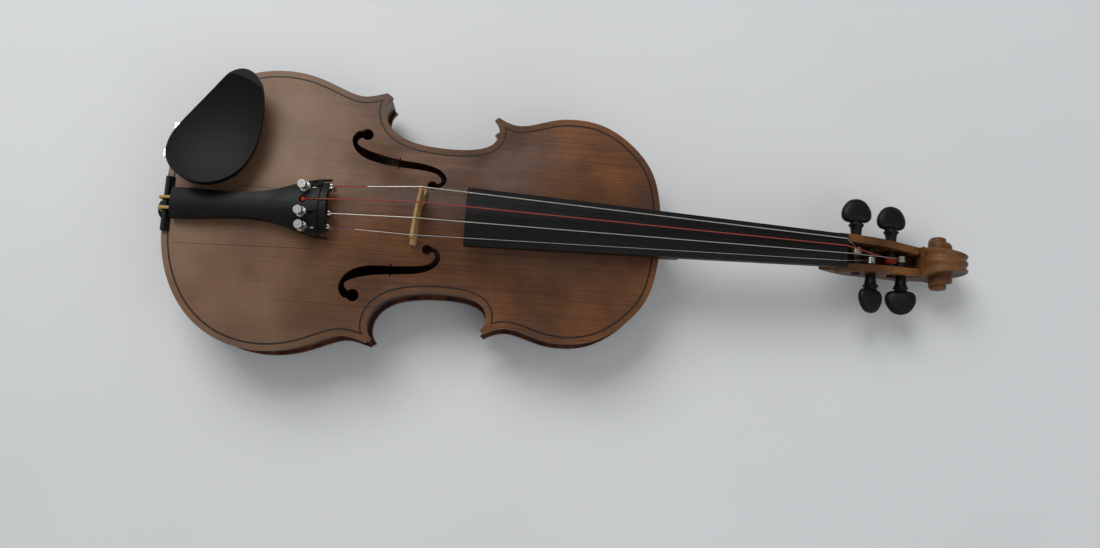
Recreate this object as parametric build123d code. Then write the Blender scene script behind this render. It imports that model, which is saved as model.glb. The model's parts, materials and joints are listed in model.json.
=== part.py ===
from build123d import *
import os
from math import cos, exp, hypot, pi, sin, sqrt

# Violin lying on its back. Millimetres. While it is drawn, x runs along the body from the tail
# edge of the plates towards the scroll, y is towards the bass side and z is up, with the table
# at z = 0. Every piece is moved along x at the end, so that the origin is under the middle of
# the whole violin.

# ---- body ----
BODY_LENGTH = 356.0
LOWER_BOUT = 205.0          # width of the plates across the lower bout
WAIST = 108.0
UPPER_BOUT = 166.0
RIB_HEIGHT = 31.0
RIB_THICKNESS = 1.0
OVERHANG = 2.5              # plate edge past the outside of the ribs
EDGE_THICKNESS = 4.0        # both plates at their edge
TOP_ARCH = 10.5             # rise of the front above its edge
BACK_ARCH = 11.0
TOP_THICKNESS = 3.0
BACK_THICKNESS = 3.6
CHANNEL = 7.5               # flat border between the edge and the start of the arch
LINING_THICKNESS = 2.0
LINING_HEIGHT = 8.0
CORNER_BLOCK_RADIUS = 21.0
END_BLOCK_WIDTH = 50.0
END_BLOCK_DEPTH = 16.0
PURFLING_INSET = 4.0
PURFLING_WIDTH = 1.3
PURFLING_DEPTH = 2.0
PURFLING_GAP = 0.02         # glue line on each side of the inlay
BUTTON_RADIUS = 10.5        # semicircle of the back that the heel is glued to

# ---- f-holes, from the bridge's place and the centre line ----
UPPER_EYE = (7.5, 23.5)
LOWER_EYE = (-42.5, 59.0)
UPPER_EYE_RADIUS = 3.4
LOWER_EYE_RADIUS = 4.4
NOTCH = 2.2

# ---- inner bracing ----
BASS_BAR_LENGTH = 262.0
BASS_BAR_WIDTH = 5.5
BASS_BAR_DEPTH = 11.0
BASS_BAR_Y = 15.0
SOUND_POST_DIAMETER = 6.2
SOUND_POST_Y = -19.0
SOUND_POST_BEHIND = 8.0     # from the bridge towards the tail

# ---- neck, fingerboard and nut ----
BOARD_OVERLAP = 141.5       # fingerboard over the body
BOARD_LENGTH = 275.0
BOARD_WIDE = 42.0
BOARD_NARROW = 24.5
BOARD_RADIUS = 42.0         # crown of the playing surface
BOARD_WIDE_Z = 74.0
BOARD_NARROW_Z = 54.0
BOARD_SIDE = 5.0            # thickness at the long edges
NUT_LENGTH = 6.0
NUT_PROUD = 0.7
NECK_DEPTH = 12.0           # neck wood under the fingerboard
HEEL_TENON = 6.0            # part of the heel let into the body

# ---- pegbox and scroll ----
PEGBOX_WIDTH = 28.0
PEGBOX_THROAT_WIDTH = 21.0
CHEEK = 5.6
SCROLL_FROM_NUT = 77.5      # from the pegbox edge of the nut to the eye
SCROLL_RADIUS = 22.5        # from the eye to the front of the volute
SCROLL_DECAY = 0.118        # shrink of the spiral for each radian
EYE_RADIUS = 6.0
EYE_SPAN = 40.5
TURN_WIDTH = 29.0
OUTER_TURN_WIDTH = 22.0

# ---- pegs: string, side of the head, distance from the nut, z, turn of the head ----
PEG_PLACES = (("g", 1, 10.0, 37.0, 0.0), ("d", 1, 40.0, 29.0, 6.0),
              ("a", -1, 48.5, 27.0, -12.0), ("e", -1, 22.5, 34.0, 28.0))
PEG_SHAFT_WIDE = 3.9        # shaft radius at the collar, tapering 1 in 30 on the diameter
PEG_TAPER = 1.0 / 60.0
PEG_CLEARANCE = 0.05
PEG_SHAFT_LENGTH = 42.0
PEG_COLLAR_OUT = 9.5        # from the pegbox cheek to the collar
PEG_COLLAR_RADIUS = 6.2
PEG_HEAD_WIDTH = 23.0
PEG_HEAD_LENGTH = 18.5
PEG_HEAD_THICKNESS = 8.5
PEG_HEAD_GAP = 1.6

# ---- strings: diameter and height above the board's end ----
STRINGS = {"g": (0.80, 7.6), "d": (0.80, 7.2), "a": (0.66, 6.6), "e": (0.32, 5.8)}
STRING_ORDER = ("g", "d", "a", "e")
BRIDGE_SPACING = 11.3
NUT_SPACING = 5.5
TAIL_SPACING = 9.5
WINDING_LENGTH = 5.0
WINDING_GAP = 0.4
STRING_LIFT = 0.13          # a string's bend passes inside its corner by less than this

# ---- bridge, tailpiece and tail end ----
BRIDGE_SHARE = 0.5084       # of the body length, from the tail
BRIDGE_Y = -1.5
BRIDGE_TURN = 7.0           # degrees, its bass end is nearer to the fingerboard
BRIDGE_FEET = 41.0
BRIDGE_FOOT_THICKNESS = 4.6
BRIDGE_TOP_THICKNESS = 1.6
BRIDGE_CROWN_RADIUS = 42.0
TAIL_Y = -3.0
TAILPIECE_START = 6.5
TAILPIECE_LENGTH = 113.0
TAILPIECE_WIDE = 43.0
TAILPIECE_NARROW = 22.0
TAILPIECE_NARROW_Z = 58.5
TAILPIECE_WIDE_Z = 76.5
TAILPIECE_RADIUS = 30.0
TAILPIECE_DEPTH = 11.0
TAILPIECE_END_DEPTH = 6.5   # at the narrow end
TAILPIECE_WALL = 1.4
TAILPIECE_ROOF = 6.0        # from the crown down to the ceiling of the hollow
TAILPIECE_WIDE_Y = -2.0
GUT_DEPTH = 9.0             # gut let into the narrow end of the tailpiece
GUT_DROP = 3.4              # from the crown down to the gut
KEYHOLE_FROM_END = 16.5
KEYHOLE_RADIUS = 2.7
KNOT_RADIUS = 1.9
KNOT_SUNK = 1.5             # centre of the knot under the crown
SLOT_WIDTH = 1.8
FRET_FROM_END = 6.5
FRET_WIDTH = 3.0
FRET_PROUD = 1.2
GUT_DIAMETER = 2.2
GUT_SPACING = 7.6
SADDLE_LENGTH = 39.0
SADDLE_WIDTH = 6.0
SADDLE_PROUD = 4.2
BUTTON_Z_RADIUS = 6.5       # head of the end button
BUTTON_NECK_RADIUS = 3.6
BUTTON_NECK = 5.8
BUTTON_HEAD = 6.0
BUTTON_PIN_LENGTH = 18.0

# ---- fine tuners on the G, A and E strings ----
TUNERS = ("g", "a", "e")
SCREW_RADIUS = 1.5
SCREW_HEAD_RADIUS = 3.3
SCREW_HEAD_HEIGHT = 3.6
SCREW_LIFT = 3.4            # under the head at rest
SLEEVE_RADIUS = 2.5
THREAD_CLEARANCE = 0.05
COLLAR_RADIUS = 3.7
COLLAR_HEIGHT = 1.5
TUNER_WIDTH = 5.0
TUNER_EAR = 0.8
TUNER_PLATE = 1.2
PIVOT_FORWARD = 9.0         # from the screw to the lever's pivot
PIVOT_DROP = 3.8            # from the hollow's ceiling down to the pivot
PIVOT_RADIUS = 0.7
LEVER_THICKNESS = 1.4
LEVER_GAP = 0.35
HOOK_FORWARD = 20.0
HOOK_HEIGHT = 9.0

# ---- chinrest ----
CUP_Z = 64.0
CUP_THICKNESS = 12.0
CUP_DISH = 8.0
CUP_DISH_RADIUS = 105.0
CUP_MIDDLE = (40.0, 48.0)
CORK = 2.0
FOOT_SHORT = 1.8            # chinrest foot ends this far before the arch starts
FOOT_MARGIN = 6.0           # foot beyond the outer post on each side
POSTS = (33.0, 53.0)        # y of the two clamp posts
POST_OUT = 2.6              # post axis outside the plate edge
STUD_RADIUS = 1.25
BARREL_RADIUS = 2.4
BARREL_LENGTH = 20.0
BARREL_Z = 22.0
ARM_WIDTH = 5.0
ARM_THICKNESS = 2.2
FOOT_REACH = 13.0

# ---- heights and places worked out from the sizes above ----
BACK_EDGE_Z = BACK_ARCH
BACK_Z = BACK_EDGE_Z + EDGE_THICKNESS
TOP_Z = BACK_Z + RIB_HEIGHT
TOP_EDGE_Z = TOP_Z + EDGE_THICKNESS
BRIDGE_X = BRIDGE_SHARE * BODY_LENGTH
BOARD_START = BODY_LENGTH - BOARD_OVERLAP
BOARD_END = BOARD_START + BOARD_LENGTH
NUT_END = BOARD_END + NUT_LENGTH
CHEEKS_START = NUT_END + 4.5
THROAT_X = NUT_END + 70.0
SCROLL_X = NUT_END + SCROLL_FROM_NUT
PEGS = [(name, side, NUT_END + away, z, turn) for name, side, away, z, turn in PEG_PLACES]
BUTTON_REACH = BUTTON_NECK + BUTTON_HEAD - OVERHANG
NOSE_X = SCROLL_X + SCROLL_RADIUS
MIDDLE_X = (NOSE_X - BUTTON_REACH) / 2
BLOCK_INSET = OVERHANG + RIB_THICKNESS
BOARD_SLOPE = (BOARD_WIDE_Z - BOARD_NARROW_Z) / BOARD_LENGTH
HALF_LOWER = LOWER_BOUT / 2
HALF_UPPER = UPPER_BOUT / 2
HALF_WAIST = WAIST / 2
BUTTON_Z = BACK_Z + RIB_HEIGHT / 2
SCROLL_Z = SCROLL_RADIUS * exp(SCROLL_DECAY * pi / 2)    # the volute just touches the table
INSET_STEPS = 24             # points along each curve when the outline is moved inwards
INSET_GAP = 1.5             # points nearer than this to a corner's crossing are left out
HIGH = 200.0                # more than the violin's height, for cutting tools


def scaled(points, half_width):
    """Outline points given as shares of the body length and of one bout's half width."""
    return [(x * BODY_LENGTH, y * half_width) for x, y in points]


LOWER_CURVE = scaled([(0, 0), (0.0065, 0.35), (0.0325, 0.61), (0.080, 0.825), (0.142, 0.955),
                      (0.214, 1.0), (0.286, 0.962), (0.342, 0.886), (0.375, 0.858),
                      (0.405, 0.878), (0.4215, 0.896)], HALF_LOWER)
WAIST_CURVE = scaled([(0.4335, 1.645), (0.4230, 1.53), (0.4245, 1.35), (0.4440, 1.165),
                      (0.4810, 1.045), (0.5420, 0.988), (0.5840, 0.988), (0.6210, 1.026),
                      (0.6450, 1.105), (0.6560, 1.25), (0.6455, 1.44)], HALF_WAIST)
UPPER_CURVE = scaled([(0.6530, 0.966), (0.6720, 0.925), (0.6930, 0.903), (0.7230, 0.920),
                      (0.7720, 0.982), (0.8200, 1.0), (0.8680, 0.966), (0.9090, 0.880),
                      (0.9475, 0.742), (0.9715, 0.610), (0.9880, 0.440), (0.9962, 0.250), (1.0,
                                                                                           0.0)], HALF_UPPER)
LOWER_TIP = Vector(*[(a + b) / 2 for a, b in zip(LOWER_CURVE[-1], WAIST_CURVE[0])])
UPPER_TIP = Vector(*[(a + b) / 2 for a, b in zip(UPPER_CURVE[0], WAIST_CURVE[-1])])


# ---- outline and plates ----

def bouts(lower, waist, upper):
    """Runs of points round the whole outline, from those of its bass half: the tail end of the
    body, the bass side of the waist, the neck end and the treble side of the waist."""
    tail = [(x, -y) for x, y in reversed(lower[1:])] + lower
    neck_end = upper + [(x, -y) for x, y in reversed(upper[:-1])]
    return [tail, waist, neck_end, [(x, -y) for x, y in reversed(waist)]]


def inset_points(curve, start, end, inset):
    """Points along part of a curve, each moved square to it into the plate."""
    points = []
    for i in range(INSET_STEPS + 1):
        share = start + (end - start) * i / INSET_STEPS
        place = curve @ share
        along = curve % share
        points.append((place.X + inset * along.Y, place.Y - inset * along.X))
    return points


def crossing(first, second):
    """Where the end of one run of points crosses the start of the next, with both indices."""
    for i in range(len(first) - 1, len(first) // 2, -1):
        (ax, ay), (bx, by) = first[i - 1], first[i]
        for j in range(len(second) // 2):
            (cx, cy), (dx, dy) = second[j], second[j + 1]
            turn = (bx - ax) * (dy - cy) - (by - ay) * (dx - cx)
            if abs(turn) < 1e-9:
                continue
            t = ((cx - ax) * (dy - cy) - (cy - ay) * (dx - cx)) / turn
            u = ((cx - ax) * (by - ay) - (cy - ay) * (bx - ax)) / turn
            if 0 <= t <= 1 and 0 <= u <= 1:
                return (ax + t * (bx - ax), ay + t * (by - ay)), i, j
    return None


def inset_runs(inset):
    """The bass half's three runs of points moved inwards and cut where they cross at a corner,
    with the point of each corner."""
    tail, waist, neck_end, _ = [Spline(*run) for run in bouts(LOWER_CURVE, WAIST_CURVE, UPPER_CURVE)]
    runs = [inset_points(tail, 0.5, 1, inset), inset_points(waist, 0, 1, inset), inset_points(neck_end, 0,
                                                                                              0.5, inset)]
    runs[0][0] = (runs[0][0][0], 0.0)
    runs[2][-1] = (runs[2][-1][0], 0.0)
    corners = []
    for k in range(2):
        meeting = crossing(runs[k], runs[k + 1])
        if meeting:
            point, i, j = meeting
            before = [p for p in runs[k][:i] if hypot(p[0] - point[0], p[1] - point[1]) > INSET_GAP]
            after = [p for p in runs[k + 1][j + 1:] if hypot(p[0] - point[0], p[1] - point[1]) > INSET_GAP]
            runs[k] = before + [point]
            runs[k + 1] = [point] + after
        (ax, ay), (bx, by) = runs[k][-1], runs[k + 1][0]
        corners.append(Vector((ax + bx) / 2, (ay + by) / 2))
    return runs, corners


def outline_face(inset=0.0):
    """Flat face of the plate outline, moved inwards by the inset."""
    half = inset_runs(inset)[0] if inset else (LOWER_CURVE, WAIST_CURVE, UPPER_CURVE)
    runs = bouts(*half)
    edges = [Spline(*run) for run in runs]
    for first, second in zip(runs, runs[1:] + runs[:1]):
        if hypot(first[-1][0] - second[0][0], first[-1][1] - second[0][1]) > 1e-6:
            edges.append(Line(first[-1], second[0]))
    return make_face(Curve() + edges)


def prism(face, low, high):
    """Upright solid over a flat face, between two heights."""
    return extrude(Pos(0, 0, low) * face, amount=high - low, dir=(0, 0, 1))


def channel_half_width(x):
    """Half width at which the arch dies out: two ellipses, the bouts, blended with the waist."""
    def bout(middle, half, towards_tail, towards_neck):
        reach = towards_tail if x < middle else towards_neck
        share = 1 - ((x - middle) / reach) ** 2
        return (half - CHANNEL) * sqrt(max(share, 0))

    lower = bout(0.214 * BODY_LENGTH, HALF_LOWER, 0.219 * BODY_LENGTH, 0.267 * BODY_LENGTH)
    upper = bout(0.82 * BODY_LENGTH, HALF_UPPER, 0.21 * BODY_LENGTH, 0.174 * BODY_LENGTH)
    return (lower ** 6 + upper ** 6 + (HALF_WAIST - CHANNEL) ** 6) ** (1 / 6)


def arch_share(x, y):
    """Share of the full arch at a point: a raised cosine along the body and one across it."""
    along = abs(2 * (x - CHANNEL) / (BODY_LENGTH - 2 * CHANNEL) - 1)
    across = abs(y) / channel_half_width(x)
    if along >= 1 or across >= 1:
        return 0.0
    return (1 + cos(pi * along ** 2)) / 2 * (1 + cos(pi * across ** 1.2)) / 2


def arch_volume(edge_z, rise, upwards):
    """Space behind an arched surface: under the front's, or over the back's."""
    step = 7.0
    columns = round((BODY_LENGTH + 12) / step)
    rows = 2 * round((HALF_LOWER + 8) / step)
    sign = 1 if upwards else -1
    grid = []
    for i in range(columns + 1):
        x = -6 + (BODY_LENGTH + 12) * i / columns
        ys = [(HALF_LOWER + 8) * (2 * j / rows - 1) for j in range(rows + 1)]
        grid.append([Vector(x, y, edge_z + sign * rise * arch_share(x, y)) for y in ys])
    sheet = Face.make_surface_from_array_of_points(grid, tol=0.02)
    return extrude(sheet, amount=HIGH / 2, dir=(0, 0, -sign))


def block_faces():
    """Flat faces of the two end blocks and the four corner blocks, inside the ribs."""
    inside = outline_face(BLOCK_INSET)
    reach = 2 * (BLOCK_INSET + END_BLOCK_DEPTH)
    lower = inside & Rectangle(reach, END_BLOCK_WIDTH)
    upper = inside & (Pos(BODY_LENGTH, 0) * Rectangle(reach, END_BLOCK_WIDTH))
    corners = []
    for side in (1, -1):
        for tip in (LOWER_TIP, UPPER_TIP):
            corners.append(inside & (Pos(tip.X, side * tip.Y) * Circle(CORNER_BLOCK_RADIUS)))
    return lower, upper, corners


def hollow_face():
    """Inside of the linings, less the blocks: where the plates are hollowed out."""
    lower, upper, corners = block_faces()
    face = outline_face(BLOCK_INSET + LINING_THICKNESS)
    for block in (lower, upper, *corners):
        face = face - block
    return face


def plate(low_z, edge_z, rise, thickness, upwards, extra=None):
    """Arched plate with its flat gluing border, its button if it has one, and its hollow."""
    near = min(low_z, edge_z) if upwards else edge_z - rise - 1
    far = edge_z + rise + 1 if upwards else low_z
    blank = prism(outline_face(), near, far) & arch_volume(edge_z, rise, upwards)
    if extra is not None:
        blank = blank + extra
    sign = 1 if upwards else -1
    inner = arch_volume(edge_z - sign * thickness, rise, upwards)
    if upwards:
        hollow = prism(hollow_face(), low_z, low_z + HIGH / 4) & inner
    else:
        hollow = prism(hollow_face(), low_z - HIGH / 4, low_z) & inner
    return blank - hollow, inner


def purfling_ring(low, high, narrower):
    """Strip along the edge of a plate; narrower by the gap on each side where it is the inlay."""
    outside = outline_face(PURFLING_INSET + narrower)
    return prism(outside - outline_face(PURFLING_INSET + PURFLING_WIDTH - narrower), low, high)


def f_hole(side):
    """One f-hole: two round eyes joined by a swelling S-shaped stem, with its two notches."""
    inner = [(-52.7, 55.5), (-52.1, 51.0), (-48.5, 44.8), (-41.0, 39.8), (-24.0, 36.6),
             (-5.0, 35.6), (6.5, 34.0), (12.6, 30.4), (13.6, 27.2), (10.2, 24.9)]
    outer = [(9.8, 21.6), (15.8, 24.2), (17.4, 29.0), (15.6, 33.2), (7.5, 38.6), (-3.0, 41.0),
             (-21.0, 42.6), (-36.0, 45.4), (-45.4, 48.8), (-48.4, 51.0), (-47.6, 54.6)]
    turn_in = Spline(*inner)
    turn_out = Spline(*outer)
    tail = Line(outer[-1], LOWER_EYE)
    back = Spline(LOWER_EYE, (-47.8, 61.4), inner[0])
    tip = Line(inner[-1], outer[0])
    stem = make_face(Curve() + [turn_in, tip, turn_out, tail, back])
    shape = stem + Pos(*UPPER_EYE) * Circle(UPPER_EYE_RADIUS)
    shape = shape + Pos(*LOWER_EYE) * Circle(LOWER_EYE_RADIUS)
    middle = ((UPPER_EYE[0] + LOWER_EYE[0]) / 2, (UPPER_EYE[1] + LOWER_EYE[1]) / 2 - 2)
    shape = shape + Pos(*middle) * Rectangle(NOTCH / 2, 4 * NOTCH)
    hole = Pos(BRIDGE_X, 0, 0) * prism(shape, TOP_Z - 1, TOP_Z + HIGH / 4)
    return hole if side > 0 else mirror(hole, about=Plane.XZ)


def halves(solid):
    """Bass and treble halves of a plate, parted at the centre joint."""
    bass = split(solid, bisect_by=Plane.XZ, keep=Keep.BOTTOM)
    treble = split(solid, bisect_by=Plane.XZ, keep=Keep.TOP)
    return (bass, treble) if bass.center().Y > 0 else (treble, bass)


# ---- ribs, blocks, linings and bracing ----

def waist_region():
    """Flat region of the bass side that holds the waist rib, bounded by the corner mitres."""
    _, outer = inset_runs(OVERHANG)
    _, inner = inset_runs(BLOCK_INSET)
    cuts = []
    for far, near in zip(outer, inner):
        aim = (far - near).normalized()
        cuts.append((far + aim * 15, near - aim * 22))
    (lower_out, lower_in), (upper_out, upper_in) = cuts
    points = [lower_out, lower_in, (lower_in.X, HALF_WAIST / 2), (upper_in.X, HALF_WAIST / 2), upper_in,
              upper_out]
    return make_face(Polyline(*points, close=True))


def ribs():
    """Six bent ribs between the plates, parted at the corners and on the centre line."""
    ring = prism(outline_face(OVERHANG) - outline_face(BLOCK_INSET), BACK_Z, TOP_Z)
    region = prism(waist_region(), 0, HIGH)
    other = mirror(region, about=Plane.XZ)
    bouts = ring - region - other
    pieces = {"rib_waist_bass": ring & region, "rib_waist_treble": ring & other}
    for word, half in zip(("bass", "treble"), halves(bouts)):
        lower, upper = half.solids().sort_by(Axis.X)
        pieces[f"rib_lower_{word}"] = lower
        pieces[f"rib_upper_{word}"] = upper
    return pieces


def linings(low):
    """Strips glued along one edge of the ribs, stopping at the blocks."""
    ring = outline_face(BLOCK_INSET) - outline_face(BLOCK_INSET + LINING_THICKNESS)
    lower, upper, corners = block_faces()
    for block in (lower, upper, *corners):
        ring = ring - block
    return prism(ring, low, low + LINING_HEIGHT)


def blocks():
    lower, upper, corners = block_faces()
    corner_solids = [prism(face, BACK_Z, TOP_Z) for face in corners]
    return prism(lower, BACK_Z, TOP_Z), prism(upper, BACK_Z, TOP_Z), Compound(corner_solids)


def bass_bar(under_top):
    """Bar along the inside of the front, deepest under the bridge."""
    middle = BODY_LENGTH / 2
    half = BASS_BAR_LENGTH / 2
    low = TOP_Z + TOP_ARCH + EDGE_THICKNESS - TOP_THICKNESS - BASS_BAR_DEPTH
    ends = TOP_Z + 4
    curve = Spline((middle - half, ends), (middle, low), (middle + half, ends))
    side = make_face(curve + Polyline((middle + half, ends), (middle + half, TOP_Z + HIGH / 8),
                                      (middle - half, TOP_Z + HIGH / 8), (middle - half, ends)))
    bar = extrude(Plane.XZ * side, amount=BASS_BAR_WIDTH / 2, both=True)
    return Pos(0, BASS_BAR_Y, 0) * bar & under_top


def sound_post(under_top, over_back):
    """Dowel between the plates, just behind the treble foot of the bridge."""
    post = Pos(BRIDGE_X - SOUND_POST_BEHIND, SOUND_POST_Y, BACK_EDGE_Z - BACK_ARCH)
    post = post * Cylinder(SOUND_POST_DIAMETER / 2, HIGH / 2, align=(Align.CENTER, Align.CENTER, Align.MIN))
    return post & under_top & over_back


# ---- neck ----

def board_top(x):
    """Height of the fingerboard's crown."""
    return BOARD_NARROW_Z + BOARD_SLOPE * (BOARD_END - x)


def board_half(x):
    return (BOARD_NARROW + (BOARD_WIDE - BOARD_NARROW) * (BOARD_END - x) / BOARD_LENGTH) / 2


def board_under(x):
    """Height of the flat underside that is glued to the neck."""
    def under(half, top):
        return top - (BOARD_RADIUS - sqrt(BOARD_RADIUS ** 2 - half ** 2)) - BOARD_SIDE

    low = under(BOARD_NARROW / 2, BOARD_NARROW_Z)
    high = under(BOARD_WIDE / 2, BOARD_WIDE_Z)
    return low + (high - low) * (BOARD_END - x) / BOARD_LENGTH


def above_board_plane(start, end):
    """Tall wedge over the glue plane of the fingerboard, as a cutting tool."""
    side = Polyline((start, board_under(start)), (end, board_under(end)), (end, HIGH), (start, HIGH),
                    close=True)
    return extrude(Plane.XZ * make_face(side), amount=HIGH, both=True)


def crown(radius, drop, start, end):
    """Long cylinder whose top line follows the fingerboard's crown."""
    low = Vector(start, 0, board_top(start) - drop - radius)
    high = Vector(end, 0, board_top(end) - drop - radius)
    plane = Plane(origin=low, z_dir=high - low)
    return plane * Cylinder(radius, (high - low).length, align=(Align.CENTER, Align.CENTER, Align.MIN))


def fingerboard():
    plan = Polyline((BOARD_START, -BOARD_WIDE / 2), (BOARD_END, -BOARD_NARROW / 2),
                    (BOARD_END, BOARD_NARROW / 2), (BOARD_START, BOARD_WIDE / 2), close=True)
    board = prism(make_face(plan), 0, HIGH) & crown(BOARD_RADIUS, 0, BOARD_START - 20, BOARD_END + 20)
    board = board & above_board_plane(BOARD_START - 20, BOARD_END + 20)
    scoop = crown(BOARD_RADIUS - BOARD_SIDE, BOARD_SIDE, BOARD_START - 20, BODY_LENGTH - 14)
    return board - scoop


def neck_section(x, half, depth):
    """D-shaped section of the neck: flat under the board, half an ellipse below."""
    top = board_under(x)
    lower_half = Pos(0, -depth) * Rectangle(3 * half, 2 * depth)
    face = Ellipse(half, depth) & lower_half
    return Plane(origin=(x, 0, top), x_dir=(0, 1, 0), z_dir=(1, 0, 0)) * face


def heel_section(z, half, forward):
    """Level section of the heel: flat against the ribs, half an ellipse in front."""
    start = BODY_LENGTH - OVERHANG
    front_half = Pos(forward, 0) * Rectangle(2 * forward, 3 * half)
    return Pos(start, 0, z) * (Ellipse(forward, half) & front_half)


def heel():
    """Heel from the button up to the neck, with the tenon that is let into the upper block."""
    top = TOP_EDGE_Z + 3
    solid = loft([heel_section(BACK_EDGE_Z + EDGE_THICKNESS, BUTTON_RADIUS, BUTTON_RADIUS + OVERHANG - 0.5),
                  heel_section(BACK_Z + 14, 12.2, 15.5), heel_section(BACK_Z + 24, 13.6, 21),
                  heel_section(top, 15.8, 34)])
    tenon_top = TOP_EDGE_Z + 6
    front = BODY_LENGTH - OVERHANG
    tenon = Polyline((front, -12), (front, 12), (front - HEEL_TENON, 10.5), (front - HEEL_TENON, -10.5),
                     close=True)
    return solid + prism(make_face(tenon), BACK_Z, tenon_top)


def pegbox_outline():
    """Side view of the pegbox, from the neck to the throat of the scroll."""
    top_line = [(-6, 46.5), (2, 46.0), (29.5, 42.5), (54.5, 33.5), (66.5, 29.0)]
    back_line = [(62.5, 2.8), (44.5, 10.8), (19.5, 21.5), (0.5, 29.0), (-17.5, 35.4)]
    top = Spline(*[(NUT_END + x, z) for x, z in top_line])
    back = Spline((SCROLL_X, 0), *[(NUT_END + x, z) for x, z in back_line], tangents=[(-1, 0), (-1, 0.11)])
    return make_face(Curve() + [top, Line(top @ 1, back @ 0), back, Line(back @ 1, top @ 0)])


def spiral(start_angle, end_angle, scale):
    """Points of the volute's spiral, which shrinks as it turns up over the top."""
    points = []
    steps = 12
    for i in range(steps + 1):
        angle = start_angle + (end_angle - start_angle) * i / steps
        radius = scale * SCROLL_RADIUS * exp(-SCROLL_DECAY * angle)
        points.append((SCROLL_X + radius * cos(angle), SCROLL_Z + radius * sin(angle)))
    return points


def volute_turn(start_angle, span, scale, width):
    """One turn of the volute as a spiral disc across the scroll."""
    curve = Spline(*spiral(start_angle, start_angle + span, scale))
    face = make_face(Curve() + [curve, Line(curve @ 1, curve @ 0)])
    return extrude(Plane.XZ * face, amount=width / 2, both=True)


def scroll():
    """Volute: the outer turn, the narrower second turn standing out further, and the eye."""
    outer = volute_turn(-pi / 2, 1.9 * pi, 1.0, OUTER_TURN_WIDTH)
    second = volute_turn(2 * pi * 0.62, 2 * pi - 0.2, 0.96, TURN_WIDTH)
    eye = Pos(SCROLL_X, 0, SCROLL_Z) * Rot(90, 0, 0) * Cylinder(EYE_RADIUS, EYE_SPAN)
    return outer + second + eye


def pegbox():
    """Two cheeks, a floor and the closed ends around the string trough."""
    block = extrude(Plane.XZ * pegbox_outline(), amount=PEGBOX_WIDTH, both=True)
    half = PEGBOX_WIDTH / 2
    throat = PEGBOX_THROAT_WIDTH / 2
    plan = Polyline((NUT_END - 26, 3 - half), (NUT_END - 8, -half), (CHEEKS_START, -half), (THROAT_X,
                                                                                            -throat),
                    (THROAT_X, throat), (CHEEKS_START, half), (NUT_END - 8, half), (NUT_END - 26,
                                                                                    half - 3), close=True)
    block = block & prism(make_face(plan), -5, HIGH)
    wide = half - CHEEK
    narrow = throat - CHEEK + 1
    trough_end = NUT_END + 56.5
    trough = Polyline((NUT_END + 1, -wide), (trough_end, -narrow), (trough_end, narrow), (NUT_END + 1,
                                                                                          wide), close=True)
    floor_line = [(-5, 44), (2, 34), (9.5, 29.5), (24.5, 24.5), (49.5, 16), (60.5, 18), (60.5, 60), (-5,
                                                                                                     60)]
    floor = Polyline(*[(NUT_END + x, z) for x, z in floor_line], close=True)
    floor_side = extrude(Plane.XZ * make_face(floor), amount=PEGBOX_WIDTH, both=True)
    return block - (prism(make_face(trough), 0, HIGH) & floor_side)


def neck():
    """Neck, heel, pegbox and scroll: one piece of maple."""
    sections = [neck_section(BODY_LENGTH + 12, board_half(BODY_LENGTH + 12), NECK_DEPTH + 1),
                neck_section((BODY_LENGTH + BOARD_END) / 2, board_half((BODY_LENGTH + BOARD_END) / 2),
                             NECK_DEPTH),
                neck_section(BOARD_END - 4, BOARD_NARROW / 2, NECK_DEPTH)]
    handle = loft(sections, ruled=True)
    root_top = Polyline((BODY_LENGTH - OVERHANG, -board_half(BODY_LENGTH)), (BODY_LENGTH + 13,
                                                                             -board_half(BODY_LENGTH + 13)),
                        (BODY_LENGTH + 13, board_half(BODY_LENGTH + 13)), (BODY_LENGTH - OVERHANG,
                                                                           board_half(BODY_LENGTH)), close=True)
    root = prism(make_face(root_top), TOP_EDGE_Z - 2, HIGH / 2)
    nut_seat = Pos((BOARD_END + NUT_END) / 2 - 3, 0, 0) * Rectangle(NUT_LENGTH + 6, BOARD_NARROW)
    shelf = prism(nut_seat, 34, board_under(BOARD_END))
    wood = heel() + handle + root + shelf + pegbox() + scroll()
    wood = wood - above_board_plane(BODY_LENGTH - 30, BOARD_END)
    for _, side, x, z, _ in PEGS:
        wood = wood - peg_cone(side, x, z, PEG_CLEARANCE, PEG_SHAFT_LENGTH + 4)
    return wood


def nut():
    """Grooved bar over which the strings leave the fingerboard."""
    width = BOARD_NARROW
    top = BOARD_NARROW_Z + NUT_PROUD
    bar = Pos(BOARD_END + NUT_LENGTH / 2, 0, board_under(BOARD_END))
    bar = bar * Box(NUT_LENGTH, width, HIGH / 8, align=(Align.CENTER, Align.CENTER, Align.MIN))
    low = Vector(BOARD_END - 5, 0, top - BOARD_RADIUS)
    dome = Plane(origin=low, z_dir=(1, 0, 0)) * Cylinder(BOARD_RADIUS, 20, align=(Align.CENTER,
                                                                                  Align.CENTER, Align.MIN))
    bar = bar & dome
    back = BOARD_END + NUT_LENGTH / 2 - 0.6
    slope = Polyline((back, top), (NUT_END, top - 5.4), (NUT_END + 5, top - 5.4), (NUT_END + 5, top + 9),
                     (back, top + 9), close=True)
    return bar - extrude(Plane.XZ * make_face(slope), amount=width, both=True)


# ---- pegs ----

def cheek_y(x):
    """Outside of the pegbox cheek at x."""
    share = (x - CHEEKS_START) / (THROAT_X - CHEEKS_START)
    return PEGBOX_WIDTH / 2 + (PEGBOX_THROAT_WIDTH - PEGBOX_WIDTH) / 2 * max(share, 0)


def peg_plane(side, x, z):
    """Plane on the peg's axis at its collar, with z pointing out to the head."""
    return Plane(origin=(x, side * (cheek_y(x) + PEG_COLLAR_OUT), z), x_dir=(1, 0, 0), z_dir=(0, side, 0))


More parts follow.
